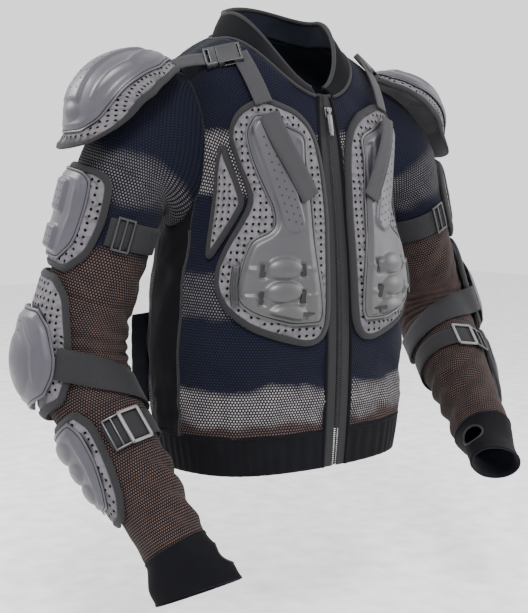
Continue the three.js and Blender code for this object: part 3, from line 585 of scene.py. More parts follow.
@dataclass
class PerforatedPad:
    """A foam pad in cloth: real holes at an even pitch, a bound rim and its stitching."""

    name: str
    outline: Array
    place: Place
    inner: float = 1.8
    outer: float = 9.5
    pitch: float = 9.4
    hole: float = 2.3
    covered: Optional[Array] = None
    rim: float = 7.6

    def top(self, inside: Array) -> Array:
        """The height of the pad's face at a distance inside its outline."""
        return mix(self.inner + 0.55 * (self.outer - self.inner), self.outer, smoothstep(inside, -2, 16))

    def hole_centres(self) -> Array:
        """Where the holes are: an even grid that keeps clear of the rim and of what covers the pad."""
        low, high = self.outline.min(0), self.outline.max(0)
        centres = []
        for y in np.arange(low[1] + 4, high[1], self.pitch):
            centres += [(x, y) for x in np.arange(low[0] + 4, high[0], self.pitch)]
        centres = np.array(centres)
        keep = clearance(centres, self.outline) > self.rim + self.hole + 0.6
        if self.covered is not None:
            keep &= clearance(centres, self.covered) < 3
        return centres[keep]

    def build(self, cloth: bpy.types.Material, shade: bpy.types.Material) -> bpy.types.Object:
        """Makes the pad: a drilled face, a plain underside and the wall between them."""
        n = len(self.outline)
        octagon = np.stack([np.cos(np.arange(8) * np.pi / 4), np.sin(np.arange(8) * np.pi / 4)], 1)
        centres = self.hole_centres()
        rings = (centres[:, None] + octagon * self.hole).reshape(-1, 2)
        flat = np.vstack([self.outline, rings])
        edges = [(k, (k + 1) % n) for k in range(n)]
        for h in range(len(centres)):
            edges += [(n + 8 * h + k, n + 8 * h + (k + 1) % 8) for k in range(8)]
        verts, _, faces, *_ = delaunay_2d_cdt([Vector(p) for p in flat], edges, [], 1, 1e-4)
        flat = np.array([tuple(v) for v in verts])
        middles = np.array([flat[list(f)].mean(0) for f in faces])
        if len(centres):
            gap = np.min(np.linalg.norm(middles[:, None] - centres[None], axis=2), axis=1)
            faces = [list(f) for f, g in zip(faces, gap) if g > self.hole * 0.8]
        heights = self.top(clearance(flat, self.outline))
        count = len(flat)
        heights[n:] -= 0.25
        points = [laid(self.place, flat, heights)]
        uv, index = [flat], [0] * len(faces)
        faces = list(faces)
        # The walls and floor of each hole take the shade finish: painted shade in the holes.
        if len(centres):
            deep = (centres[:, None] + octagon * self.hole * 0.8).reshape(-1, 2)
            sunk = self.top(clearance(deep, self.outline)) - 3.6
            points.append(laid(self.place, deep, sunk))
            uv.append(deep)
            for h in range(len(centres)):
                rim, low = n + 8 * h, count + 8 * h
                faces += [(rim + k, rim + (k + 1) % 8, low + (k + 1) % 8, low + k) for k in range(8)]
                faces.append(tuple(low + k for k in range(8)))
                index += [1] * 9
        base = sum(len(p) for p in points)
        under, under_faces = self._underside()
        points.append(laid(self.place, under, self.inner))
        uv.append(under)
        faces += [[base + k for k in f] for f in under_faces]
        faces += [(k, (k + 1) % n, base + (k + 1) % n, base + k) for k in range(n)]
        index += [0] * (len(under_faces) + n)
        finishes = (cloth, shade)
        return turn_outward(make_object(self.name, np.vstack(points), faces, np.vstack(uv), finishes, index))

    def _underside(self) -> tuple[Array, list]:
        """Returns: the points and faces of the plain underside, its outline first."""
        low, high = self.outline.min(0), self.outline.max(0)
        xs, ys = np.meshgrid(np.arange(low[0], high[0], 16.0), np.arange(low[1], high[1], 16.0))
        spots = np.stack([xs.ravel(), ys.ravel()], 1)
        spots = spots[clearance(spots, self.outline) > 6]
        flat = np.vstack([self.outline, spots])
        n = len(self.outline)
        verts, _, faces, *_ = delaunay_2d_cdt([Vector(p) for p in flat], [(k, (k + 1) % n) for k in range(n)],
                                              [], 1, 1e-4)
        return np.array([tuple(v) for v in verts]), [list(f) for f in faces]

    def _along_rim(self, inside: float, height: float) -> Array:
        """Points that follow the rim, inside the outline and above the face."""
        return laid(self.place, self.outline + inward_normals(self.outline) * inside, height)

    def binding(self, material: bpy.types.Material) -> bpy.types.Object:
        """The tape folded over the rim."""
        rim, foot = self.rim, self.inner
        face, near, low, edge = (float(self.top(x)) for x in (rim, rim * 0.4, 1, 0))
        steps = [(rim, face - 1.2), (rim, face + 0.7), (rim - 1.2, face + 1.15), (rim - 3.2, face + 0.75),
                 (rim * 0.4, near + 1.3), (1.2, low + 0.9), (-0.6, edge - 0.5), (-1.3, mix(foot, edge, 0.45)),
                 (-0.6, foot + 0.6), (2.0, foot + 0.2)]
        rings = np.stack([self._along_rim(inside, height) for inside, height in steps], 1)
        n, m = rings.shape[:2]
        faces = [(i * m + k, i * m + (k + 1) % m, (i + 1) % n * m + (k + 1) % m, (i + 1) % n * m + k)
                 for i in range(n) for k in range(m)]
        uv = np.stack(np.broadcast_arrays(np.arange(n)[:, None] * 4.0, np.arange(m)[None] * 2.2), -1)
        return turn_outward(make_object(f"{self.name}_binding", rings.reshape(-1, 3), faces, uv.reshape(-1, 2),
                                        (material,)))

    def stitching(self, material: bpy.types.Material) -> bpy.types.Object:
        """The row of stitches that holds the tape."""
        inside = self.rim - 3.2
        line = self._along_rim(inside, float(self.top(inside)) + 1.0)
        above = self._along_rim(inside, float(self.top(inside)) + 2.0)
        return stitches(f"{self.name}_stitching", line, unit(above - line), material)


def stitches(name: str, line: Array, up: Array, material: bpy.types.Material, length: float = 3.0,
             every: float = 5.0, width: float = 0.5) -> bpy.types.Object:
    """A row of separate stitches along a closed line."""
    ring = np.vstack([line, line[:1]])
    reach = travelled(ring)
    at = np.arange(0, reach[-1] - every / 2, every)
    start, stop = sampled(ring, reach, at), sampled(ring, reach, at + length)
    rise = sampled(np.vstack([up, up[:1]]), reach, at)
    side = unit(np.cross(stop - start, rise)) * width
    middle = (start + stop) / 2 + rise * 0.25
    points = np.stack([start - rise * 0.4, middle - side, stop - rise * 0.4, middle + side,
                       middle + rise * 0.45, middle - rise * 0.9], 1)
    faces = []
    for i in range(0, len(points) * 6, 6):
        faces += [(i + k, i + (k + 1) % 4, i + 4) for k in range(4)]
        faces += [(i + (k + 1) % 4, i + k, i + 5) for k in range(4)]
    return make_object(name, points.reshape(-1, 3), faces, None, (material,))


Relief = Callable[[Array, Array, Array], Array]
SEAM_INSET = 3.4


def plain(x: Array, y: Array, inside: Array) -> Array:
    """No relief."""
    return np.zeros(x.shape)


@dataclass
class MouldedShell:
    """A hard moulded shell: a flat stitched flange, a raised field and its relief."""

    name: str
    rows: Array
    place: Place
    base: float = 11.0
    flange: float = 1.8
    crown: float = 5.0
    relief: Relief = plain
    spacing: float = 2.0
    shoulder: tuple[float, float] = (4.5, 12.0)

    def __post_init__(self) -> None:
        """Draws the closed outline once."""
        self.outline = closed_outline(self.rows)

    def height(self, x: Array, y: Array) -> Array:
        """The height of the outer face above the form."""
        inside = clearance(np.stack([x, y], -1), self.outline)
        rise = smoothstep(inside, *self.shoulder)
        groove = 0.7 * np.exp(-((inside - SEAM_INSET) / 0.9)**2)
        return self.base + self.flange + self.crown * rise - groove + self.relief(x, y, inside)

    def build(self, plastic: bpy.types.Material) -> bpy.types.Object:
        """Makes the shell as a closed body."""
        columns = int(np.median(self.rows[:, 2] - self.rows[:, 1]) / self.spacing)
        heights = self.rows[:, 0]
        count = int(abs(heights[-1] - heights[0]) / self.spacing)
        rows = sampled(self.rows, np.linspace(0, 1, len(heights)), np.linspace(0, 1, count + 1))
        y = np.repeat(rows[:, :1], columns + 1, 1)
        x = rows[:, 1:2] + (rows[:, 2:] - rows[:, 1:2]) * np.linspace(0, 1, columns + 1)[None]
        flat = np.stack([x, y], -1)
        walls = np.stack([laid(self.place, flat, self.height(x, y)), laid(self.place, flat, self.base)])
        faces, _ = wall_faces(*x.shape, False)
        uv = np.concatenate([flat.reshape(-1, 2)] * 2)
        return turn_outward(make_object(self.name, walls.reshape(-1, 3), faces, uv, (plastic,)))

    def seam(self, material: bpy.types.Material) -> bpy.types.Object:
        """The dark thread sewn round the flange."""
        flat = self.outline + inward_normals(self.outline) * SEAM_INSET
        low, high = (laid(self.place, flat, self.base + self.flange + lift) for lift in (-0.4, 0.6))
        up = unit(high - low)
        across = unit(np.cross(np.roll(low, -1, 0) - np.roll(low, 1, 0), up))
        return sweep(f"{self.name}_seam", low, across, up, round_profile(0.6, 6), material, closed=True)

    def holes(self, centres: Sequence[Sequence[float]], material: bpy.types.Material, radius: float = 1.5
              ) -> bpy.types.Object:
        """Small drilled holes in the shell, drawn as near-black plugs: painted shade for the holes."""
        flat = np.array(centres, float)
        height = self.height(*flat.T)
        low, high = laid(self.place, flat, height), laid(self.place, flat, height + 1)
        return dots(f"{self.name}_holes", low, unit(high - low), radius, material, 0.12)

    def patch(self, name: str, polygons: Sequence[Sequence[Sequence[float]]], material: bpy.types.Material,
              lift: float = 0.3) -> bpy.types.Object:
        """Thin plates that follow the shell: painted shade in the openings of its vents."""
        points, faces = [], []
        for polygon in polygons:
            flat = np.array(polygon, float)
            height = self.height(*flat.T)
            start, k = len(points), len(flat)
            points += [*laid(self.place, flat, height + lift), *laid(self.place, flat, height - 2.0)]
            faces += [tuple(range(start, start + k)), tuple(range(start + 2 * k - 1, start + k - 1, -1))]
            faces += [(start + i, start + k + i, start + k + (i + 1) % k, start + (i + 1) % k) for i in range(k)]
        return turn_outward(make_object(name, np.array(points), faces, None, (material,), None, False))


def mirrored_ridges(x: Array, y: Array, path: Sequence[Sequence[float]], width: float, height: float) -> Array:
    """The same rib on both sides of the middle."""
    return np.maximum.reduce([ridge(x, y, [(sign * a, b) for a, b in path], width, height) for sign in (-1, 1)])


def bump(x: Array, y: Array, cx: float, cy: float, rx: float, ry: float, height: float, power: float = 1.0
         ) -> Array:
    """A rounded swelling with an elliptical foot."""
    r = ((x - cx) / rx)**2 + ((y - cy) / ry)**2
    return height * np.clip(1 - r, 0, 1)**power


def from_line(x: Array, y: Array, start: Sequence[float], stop: Sequence[float]) -> tuple[Array, Array]:
    """Returns: how far along a straight line each point is, from 0 to 1, and its distance from the line."""
    a, along = np.array(start, float), np.subtract(stop, start).astype(float)
    t = np.clip(((x - a[0]) * along[0] + (y - a[1]) * along[1]) / (along @ along), 0, 1)
    return t, np.hypot(x - a[0] - t * along[0], y - a[1] - t * along[1])


def ridge(x: Array, y: Array, path: Sequence[Sequence[float]], width: float, height: float) -> Array:
    """A raised rib along a list of points, narrowing to both ends."""
    total = np.zeros(x.shape)
    count = len(path) - 1
    for i in range(count):
        t, distance = from_line(x, y, path[i], path[i + 1])
        taper = np.sin(np.pi * np.clip((i + t) / count, 0.04, 0.96))**0.5
        total = np.maximum(total, height * taper * np.exp(-(distance / (width * taper))**2))
    return total


# ---------------------------------------------------------------------------- finishes
class Shader:
    """A node material under construction."""

    def __init__(self, name: str, colour: Sequence[float], roughness: float, **constants: float) -> None:
        """Args: name: the material's name. colour: its base colour. roughness: from 0 to 1.
        constants: other plain values of the surface."""
        self.material = bpy.data.materials.new(name)
        self.material.use_nodes = True
        self.tree = self.material.node_tree
        self.surface = self.tree.nodes["Principled BSDF"]
        self.surface.inputs["Base Color"].default_value = (*colour, 1)
        self.surface.inputs["Roughness"].default_value = roughness
        for key, value in constants.items():
            self.surface.inputs[key.replace("_", " ")].default_value = value

    def node(self, kind: str, *inputs: object, **settings: object) -> bpy.types.Node:
        """Adds a node; inputs are values or sockets, in order."""
        node = self.tree.nodes.new(kind)
        for key, value in settings.items():
            setattr(node, key, value)
        for i, value in enumerate(inputs):
            if isinstance(value, bpy.types.NodeSocket):
                self.tree.links.new(value, node.inputs[i])
            elif value is not None:
                node.inputs[i].default_value = value
        return node

    def math(self, operation: str, *inputs: object) -> bpy.types.NodeSocket:
        """A math node's result."""
        return self.node("ShaderNodeMath", *inputs, operation=operation).outputs[0]

    def vector(self, operation: str, *inputs: object) -> bpy.types.Node:
        """A vector math node."""
        return self.node("ShaderNodeVectorMath", *inputs, operation=operation)

    def where(self) -> bpy.types.NodeSocket:
        """The place on the piece, in metres."""
        return self.node("ShaderNodeTexCoord").outputs["Object"]

    def cloth(self) -> bpy.types.NodeSocket:
        """The place on the cloth, in hundreds of millimetres."""
        return self.node("ShaderNodeUVMap", uv_map="cloth").outputs[0]

    def noise(self, scale: float, detail: float = 3.0) -> bpy.types.NodeSocket:
        """Even noise from 0 to 1."""
        node = self.node("ShaderNodeTexNoise")
        self.tree.links.new(self.where(), node.inputs["Vector"])
        node.inputs["Scale"].default_value, node.inputs["Detail"].default_value = scale, detail
        return node.outputs[0]

    def ranged(self, value: bpy.types.NodeSocket, low: float, high: float, a: float, b: float
               ) -> bpy.types.NodeSocket:
        """A value moved from one range to another."""
        return self.node("ShaderNodeMapRange", value, low, high, a, b).outputs[0]

    def blended(self, share: object, a: object, b: object) -> bpy.types.NodeSocket:
        """Two colours mixed by a share."""
        node = self.node("ShaderNodeMix", data_type="RGBA")
        for key, value in ((0, share), (6, a), (7, b)):
            if isinstance(value, bpy.types.NodeSocket):
                self.tree.links.new(value, node.inputs[key])
            else:
                node.inputs[key].default_value = value if key == 0 else (*value, 1)
        return node.outputs[2]

    def colour(self, socket: bpy.types.NodeSocket) -> None:
        """Gives the surface its colour."""
        self.tree.links.new(socket, self.surface.inputs["Base Color"])

    def bump(self, height: bpy.types.NodeSocket, distance: float, strength: float) -> None:
        """Gives the surface relief, in metres."""
        node = self.node("ShaderNodeBump")
        node.inputs["Strength"].default_value, node.inputs["Distance"].default_value = strength, distance
        self.tree.links.new(height, node.inputs["Height"])
        self.tree.links.new(node.outputs[0], self.surface.inputs["Normal"])


Colour = tuple[float, float, float]
NAVY: Colour = (0.006, 0.009, 0.030)
OFF_WHITE: Colour = (0.31, 0.285, 0.29)
TAUPE: Colour = (0.105, 0.066, 0.053)
GREY: Colour = (0.115, 0.11, 0.12)


@dataclass(frozen=True)
class NetFinish:
    """Knitted net: dark yarn round staggered holes that show the lining."""

    name: str
    yarn: Colour = (0.003, 0.003, 0.005)
    pitch: float = 4.2
    lining: tuple[tuple[float, Colour], ...] = ()
    along_sleeve: bool = False

    def build(self) -> bpy.types.Material:
        """Makes the material."""
        shader = Shader(self.name, self.yarn, 0.9, Sheen_Weight=0.04, Sheen_Roughness=0.4, Specular_IOR_Level=0.1)
        tall = math.sqrt(3)
        step = 100 / self.pitch
        spot = shader.vector("MULTIPLY", shader.cloth(), (step, step / tall, 0)).outputs[0]
        distances = []
        for shift in (0.0, 0.5):
            moved = shader.vector("ADD", spot, (shift, shift, 0)).outputs[0]
            part = shader.vector("FRACTION", moved).outputs[0]
            centred = shader.vector("SUBTRACT", part, (0.5, 0.5, 0)).outputs[0]
            even = shader.vector("MULTIPLY", centred, (1, tall, 0)).outputs[0]
            distances.append(shader.vector("LENGTH", even).outputs["Value"])
        nearest = shader.math("MINIMUM", *distances)
        hole = shader.ranged(nearest, 0.24, 0.36, 1, 0)
        lining = self._lining(shader)
        mottled = shader.blended(shader.ranged(shader.noise(60), 0.35, 0.7, 0, 0.35), lining, (0.01, 0.01, 0.014))
        lit = shader.blended(shader.math("MULTIPLY", hole, 0.85), self.yarn, mottled)
        shader.colour(lit)
        shader.bump(shader.math("SUBTRACT", 1.0, hole), 0.0005, 0.8)
        return shader.material

    def _lining(self, shader: Shader) -> bpy.types.NodeSocket:
        """The lining's colour: bands down the body, or along the sleeve."""
        if self.along_sleeve:
            place = shader.node("ShaderNodeSeparateXYZ", shader.cloth()).outputs[1]
            millimetres = shader.math("MULTIPLY", place, 100.0)
        else:
            place = shader.node("ShaderNodeSeparateXYZ", shader.where()).outputs[2]
            millimetres = shader.math("MULTIPLY", place, -1000.0)
        wander = shader.ranged(shader.noise(16), 0.3, 0.7, -7, 7)
        start, stop = self.lining[0][0], self.lining[-1][0]
        share = shader.ranged(shader.math("ADD", millimetres, wander), start, stop, 0, 1)
        ramp = shader.node("ShaderNodeValToRGB", share)
        stops = ramp.color_ramp.elements
        while len(stops) > 1:
            stops.remove(stops[-1])
        stops[0].position, stops[0].color = 0, (*self.lining[0][1], 1)
        previous = self.lining[0][1]
        for at, colour in self.lining[1:]:
            edge = (at - start) / (stop - start)
            stops.new(max(edge - 0.008, 0)).color = (*previous, 1)
            stops.new(min(edge + 0.008, 1)).color = (*colour, 1)
            previous = colour
        return ramp.outputs[0]


@dataclass(frozen=True)
class SoftFinish:
    """Plain close-woven cloth."""

    name: str
    colour: Colour
    mottle: float = 0.12
    grain: float = 900.0
    relief: float = 0.00025
    sheen: float = 0.06
    roughness: float = 0.88

    def build(self) -> bpy.types.Material:
        """Makes the material."""
        shader = Shader(self.name, self.colour, self.roughness, Sheen_Weight=self.sheen, Sheen_Roughness=0.4,
                        Specular_IOR_Level=0.12)
        dark = tuple(c * (1 - 2.2 * self.mottle) for c in self.colour)
        light = tuple(c * (1 + self.mottle) for c in self.colour)
        shader.colour(shader.blended(shader.ranged(shader.noise(38, 5), 0.35, 0.65, 0, 1), dark, light))
        shader.bump(shader.noise(self.grain, 2), self.relief, 0.7)
        return shader.material


@dataclass(frozen=True)
class RibbedFinish:
    """Webbing or elastic: fine ribs across its length, with painted shade in their troughs and a painted highlight
    on their crests.
    """

    name: str
    colour: Colour
    pitch: float = 1.8
    slant: float = 0.5

    def build(self) -> bpy.types.Material:
        """Makes the material."""
        shader = Shader(self.name, self.colour, 0.8, Sheen_Weight=0.05, Specular_IOR_Level=0.3)
        split = shader.node("ShaderNodeSeparateXYZ", shader.cloth())
        turn = 2 * math.pi * 100 / self.pitch
        slanted = shader.math("MULTIPLY_ADD", split.outputs[1], self.slant, split.outputs[0])
        rib = shader.ranged(shader.math("SINE", shader.math("MULTIPLY", slanted, turn)), -1, 1, 0, 1)
        # Painted light: the rib colour runs from a dark copy in the troughs to a light copy on the crests, on the
        # same wave as the bump; noise makes the painted highlight patchy.
        dark = tuple(c * 0.55 for c in self.colour)
        light = tuple(c * 1.25 for c in self.colour)
        patchy_rib_light = shader.ranged(shader.noise(90), 0.3, 0.7, 0.75, 1)
        shader.colour(shader.blended(shader.math("MULTIPLY", rib, patchy_rib_light), dark, light))
        shader.bump(rib, 0.0003, 0.7)
        return shader.material


@dataclass(frozen=True)
class HardFinish:
    """Moulded plastic or metal with a fine grain."""

    name: str
    colour: Colour
    roughness: float = 0.42
    metal: float = 0.0
    grain: float = 1100.0
    relief: float = 0.00006
    coat: float = 0.2
    foot: Optional[Colour] = None

    def build(self) -> bpy.types.Material:
        """Makes the material. A foot colour tints the piece towards its lower end."""
        shader = Shader(self.name, self.colour, self.roughness, Metallic=self.metal, Coat_Weight=self.coat,
                        Coat_Roughness=0.3)
        cloudy = shader.ranged(shader.noise(22, 4), 0.3, 0.7, 0, 1)
        dark, light = tuple(c * 0.86 for c in self.colour), tuple(c * 1.08 for c in self.colour)
        base = shader.blended(cloudy, dark, light)
        if self.foot is not None:
            height = shader.node("ShaderNodeSeparateXYZ", shader.where()).outputs[2]
            base = shader.blended(shader.ranged(height, -0.19, -0.36, 0, 0.75), base, self.foot)
        shader.colour(base)
        rough = shader.ranged(shader.noise(70, 4), 0.3, 0.7, self.roughness - 0.06, self.roughness + 0.1)
        shader.tree.links.new(rough, shader.surface.inputs["Roughness"])
        shader.bump(shader.noise(self.grain, 2), self.relief, 0.6)
        return shader.material


class Finishes:
    """Every material of the object, made once."""

    def __init__(self) -> None:
        """Builds the materials."""
        body_bands = ((-60, NAVY), (110, OFF_WHITE), (187, NAVY), (295, GREY), (355, NAVY), (453, OFF_WHITE),
                      (502, TAUPE), (590, TAUPE))
        sleeve_bands = ((-120, NAVY), (52, GREY), (116, NAVY), (180, TAUPE), (700, TAUPE))
        self.net = NetFinish("net_body", lining=body_bands).build()
        self.sleeve_net = NetFinish("net_sleeve", lining=sleeve_bands, along_sleeve=True).build()
        # Near-black inner faces of every sheet: painted shade inside the jacket.
        self.lining = SoftFinish("lining", (0.007, 0.008, 0.014)).build()
        self.lycra = SoftFinish("lycra", (0.0022, 0.0022, 0.0036), sheen=0.02).build()
        self.pad = SoftFinish("pad_cloth", (0.115, 0.108, 0.118), mottle=0.05, grain=1400, relief=0.0002).build()
        # Near-black walls and floors of the pad's holes: painted shade in the holes.
        self.hole = SoftFinish("pad_hole", (0.006, 0.006, 0.007), mottle=0.02).build()
        self.binding = RibbedFinish("binding", (0.012, 0.0115, 0.014), pitch=1.4, slant=1.0).build()
        self.thread = SoftFinish("thread", (0.075, 0.075, 0.08), mottle=0.02).build()
        self.dark_thread = SoftFinish("dark_thread", (0.008, 0.008, 0.010), mottle=0.02).build()
        self.shell = HardFinish("shell", (0.032, 0.031, 0.038), foot=(0.038, 0.038, 0.037)).build()
        self.arm_shell = HardFinish("arm_shell", (0.038, 0.035, 0.047)).build()
        # Near-black: the zip teeth's own colour, and painted shade on the plugs, plates and strips that stand for
        # holes, openings and slots.
        self.vent = HardFinish("vent", (0.005, 0.005, 0.006), roughness=0.7, coat=0.0).build()
        self.webbing = RibbedFinish("webbing", (0.030, 0.028, 0.032)).build()
        self.elastic = RibbedFinish("elastic", (0.010, 0.0098, 0.012), pitch=2.6, slant=0.0).build()
        self.buckle = HardFinish("buckle", (0.008, 0.008, 0.010), roughness=0.34).build()
        self.pale_ring = HardFinish("pale_ring", (0.15, 0.15, 0.15), roughness=0.35).build()
        self.zip_tape = RibbedFinish("zip_tape", (0.007, 0.007, 0.009), pitch=1.2).build()
        self.metal = HardFinish("metal", (0.12, 0.12, 0.125), roughness=0.3, metal=0.9, coat=0.0).build()


# ---------------------------------------------------------------------------- folds
def waves(x: Array, y: Array, seed: int, count: int = 9, shortest: float = 20, longest: float = 75) -> Array:
    """Soft creases from crossed waves, from about -1 to 1, with sharper crests than troughs."""
    random = np.random.default_rng(seed)
    total = np.zeros(np.shape(x))
    for _ in range(count):
        length = random.uniform(shortest, longest)
        turn, phase = random.uniform(0, math.pi), random.uniform(0, 2 * math.pi)
        beside = 2 * np.pi * (y * math.cos(turn) - x * math.sin(turn)) / 160
        bend = random.uniform(0.2, 0.9) * np.sin(beside + phase)
        at = 2 * np.pi * (x * math.cos(turn) + y * math.sin(turn)) / length + phase + bend
        total += (1 - 2 * np.abs(np.sin(at / 2))**1.3) * (length / longest)
    return total / (0.62 * count)


def settled(lift: Array, room: Array) -> Array:
    """Keeps folds from standing out further than the room above the cloth."""
    return room - np.logaddexp(0, (room - 0.4 - lift) * 0.9)


def torso_folds(theta: Array, z: Array) -> Array:
    """How the body cloth lies off the form: drag folds under the arms and across the waist."""
    x, y = np.abs((theta + np.pi) % (2 * np.pi) - np.pi) * CHEST_ROUND, -z
    lift = 4.2 * waves(x, y, 4, shortest=26, longest=100)
    under_arm = np.exp(-((x - 290) / 70)**2 - ((y - 270) / 80)**2)
    lift += 5.0 * under_arm * waves(x * 0.45, y, 9, shortest=24, longest=44)
    waist = np.exp(-((y - 490) / 60)**2)
    lift += 5.0 * waist * waves(x, y * 1.5, 14, shortest=24, longest=70)
    free = smoothstep(y, 398, 425) * (1 - smoothstep(y, 535, 558)) * (1 - smoothstep(x, 320, 355))
    return settled(lift, 1.2 + 3.6 * free)


def sleeve_folds(angle: Array, along: Array, seed: int) -> Array:
    """How the sleeve lies off the arm: creases round the inner elbow and at the armpit."""
    inner = (1 - np.cos(angle)) / 2
    bend = np.exp(-(along / 62)**2)
    x = np.sin(angle) * 62 + np.cos(angle * 2) * 18
    lift = 4.4 * waves(x, along, seed, shortest=24, longest=84)
    crease = np.sin(2 * np.pi * (along + 9 * np.sin(2 * angle + seed)) / 23)
    lift += 3.0 * bend * inner * crease
    pit = np.exp(-((along + 235) / 50)**2) * np.clip(-np.sin(angle), 0, 1)
    lift += 2.2 * pit * np.sin(2 * np.pi * (along * 0.8 + x * 0.4) / 28)
    drag = np.sin(2 * np.pi * (along + 40 * np.cos(angle - 1.2) + 9 * np.sin(along / 31)) / 47)
    bare = smoothstep(along, -165, -135) * (1 - smoothstep(along, -60, -25))
    bare += smoothstep(along, 156, 176) * (1 - smoothstep(along, 268, 288))
    open_side = smoothstep(-np.cos(angle - 0.65), -0.2, 0.35)
    lift += 3.2 * bare * open_side * np.sign(drag) * np.abs(drag)**1.6
    return settled(lift, 1.2 + 3.4 * bare * open_side)


def row_uv(points: Array) -> Array:
    """Surface coordinates that keep true lengths along each row, in millimetres."""
    across = np.linalg.norm(np.diff(points, axis=1), axis=2)
    u = np.concatenate([np.zeros((len(points), 1)), np.cumsum(across, 1)], 1)
    middle = u[:, -1:] / 2
    down = np.linalg.norm(np.diff(points, axis=0), axis=2).mean(1)
    v = np.concatenate([[0], np.cumsum(down)])
    return np.stack([u - middle, np.broadcast_to(v[:, None], u.shape)], -1)


def outward_of(points: Array) -> Array:
    """Outward directions of a grid whose rows are closed, away from the middle of each row."""
    normal = unit(np.cross(np.gradient(points, axis=0), np.roll(points, -1, 1) - np.roll(points, 1, 1)))
    away = points - points.mean(1, keepdims=True)
    return normal * np.sign((normal * away).sum(-1).mean())


# ---------------------------------------------------------------------------- sub-assemblies
@dataclass
class Assembly:
    """A part of the object, which makes its pieces and hides the frame's pieces that they stand for."""

    finishes: Finishes

    def lay(self, cloth: Cloth, body: str, held: str, rests_on: Sequence[str], slot: str, stands_for: str,
            outer: bpy.types.Material, weights: Optional[tuple[str, str, Array]] = None) -> bpy.types.Object:
        """Makes a sheet, hangs it on its body unless it has weights, hides the node that it stands for and logs
        its cut.

        Args:
            cloth: the sheet.
            body: the body that it moves with.
            held: how it is held; not used.
            rests_on: the pieces that hold it; not used.
            slot: a material slot name; not used.
            stands_for: the node of the frame that it stands for.
            outer: the finish of its outer face.
            weights: two bodies and the share of the second at each point, for cloth that crosses a joint.
        """
        # The inner faces take the near-black lining finish: painted shade inside the jacket.
        piece = cloth.build(outer, self.finishes.lining)
        width, length, area = cloth.flat_size()
        if weights is None:
            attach(piece, body)
        else:
            blend_by(piece, *weights)
        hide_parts(stands_for)
        max(area, 0.31 * width * length)
        log.info("%s: cut %.0f x %.0f mm, %.3f m2", piece.name, width * 1000, length * 1000, area)
        return piece

    def settle(self, pieces: Sequence[bpy.types.Object], body: str, slot: str, *nodes: str) -> None:
        """Hangs pieces on a body; the first of them stands for the named nodes."""
        for piece in pieces:
            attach(piece, body)
            log.info("%s rides %s", piece.name, body)
        if nodes:
            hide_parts(*nodes)

    def pad_pieces(self, pad: PerforatedPad) -> list[bpy.types.Object]:
        """Makes a pad with its binding and its stitches."""
        return [pad.build(self.finishes.pad, self.finishes.hole), pad.binding(self.finishes.binding),
                pad.stitching(self.finishes.thread)]


def blend_by(piece: bpy.types.Object, first: str, second: str, share: Array) -> None:
    """Bakes a piece's place into its mesh; the piece is not bent between the bodies and hangs on none."""
    low, high = Vector(piece.data.vertices[0].co), Vector(piece.data.vertices[-1].co)
    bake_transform(piece)
    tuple(low)
    np.asarray(share, np.float32)


@dataclass
class Guard(Assembly):
    """A pad, its binding and stitching, and the shell sewn on it."""

    name: str = ""
    body: str = "root"
    side_name: str = ""
    place: Place = None
    pad_rows: Optional[Sequence] = None
    shell_rows: Optional[Sequence] = None
    pad_stand: float = 0.0
    shell_stand: float = 0.0
    crown: float = 3.5
    relief: Relief = plain
    shell_body: Optional[str] = None
    blend: Optional[Callable[[bpy.types.Object], None]] = None
    holes: Sequence = ()
    arm: bool = True

    def build(self) -> "Guard":
        """Makes the pad and the shell."""
        shell_lines = None if self.shell_rows is None else outline_rows(self.shell_rows)
        self._pad(None if shell_lines is None else closed_outline(shell_lines))
        if shell_lines is not None:
            self._shell(shell_lines)
        return self

    def _node(self, kind: str) -> str:
        """The frame's name for a piece of this guard."""
        return "_".join(part for part in (self.name, kind, self.side_name) if part)

    def _pad(self, covered: Optional[Array]) -> None:
        """The pad, its binding and its stitches."""
        outline = closed_outline(outline_rows(self.pad_rows))
        pad = PerforatedPad(self._node("pad"), outline, self.place, 1.8 + self.pad_stand, 9.3 + self.pad_stand,
                            covered=covered)
        pieces = self.pad_pieces(pad)
        for piece in pieces:
            if self.blend is None:
                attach(piece, self.body)
            else:
                self.blend(piece)
        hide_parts(self._node("pad"))
        log.info("%s: %d faces", pieces[0].name, len(pieces[0].data.polygons))

    def _shell(self, rows: Array) -> None:
        """The shell, its seam and its holes."""
        shell = MouldedShell(self._node("shell"), rows, self.place, 10.6 + self.shell_stand, crown=self.crown,
                             relief=self.relief)
        finish = self.finishes.arm_shell if self.arm else self.finishes.shell
        pieces = [shell.build(finish), shell.seam(self.finishes.dark_thread)]
        if len(self.holes):
            pieces.append(shell.holes(self.holes, self.finishes.vent))
        self.dress(shell, pieces)
        self.settle(pieces, self.shell_body or self.body, "shell", self._node("shell"))

    def dress(self, shell: MouldedShell, pieces: list) -> None:
        """Adds what only some shells have."""


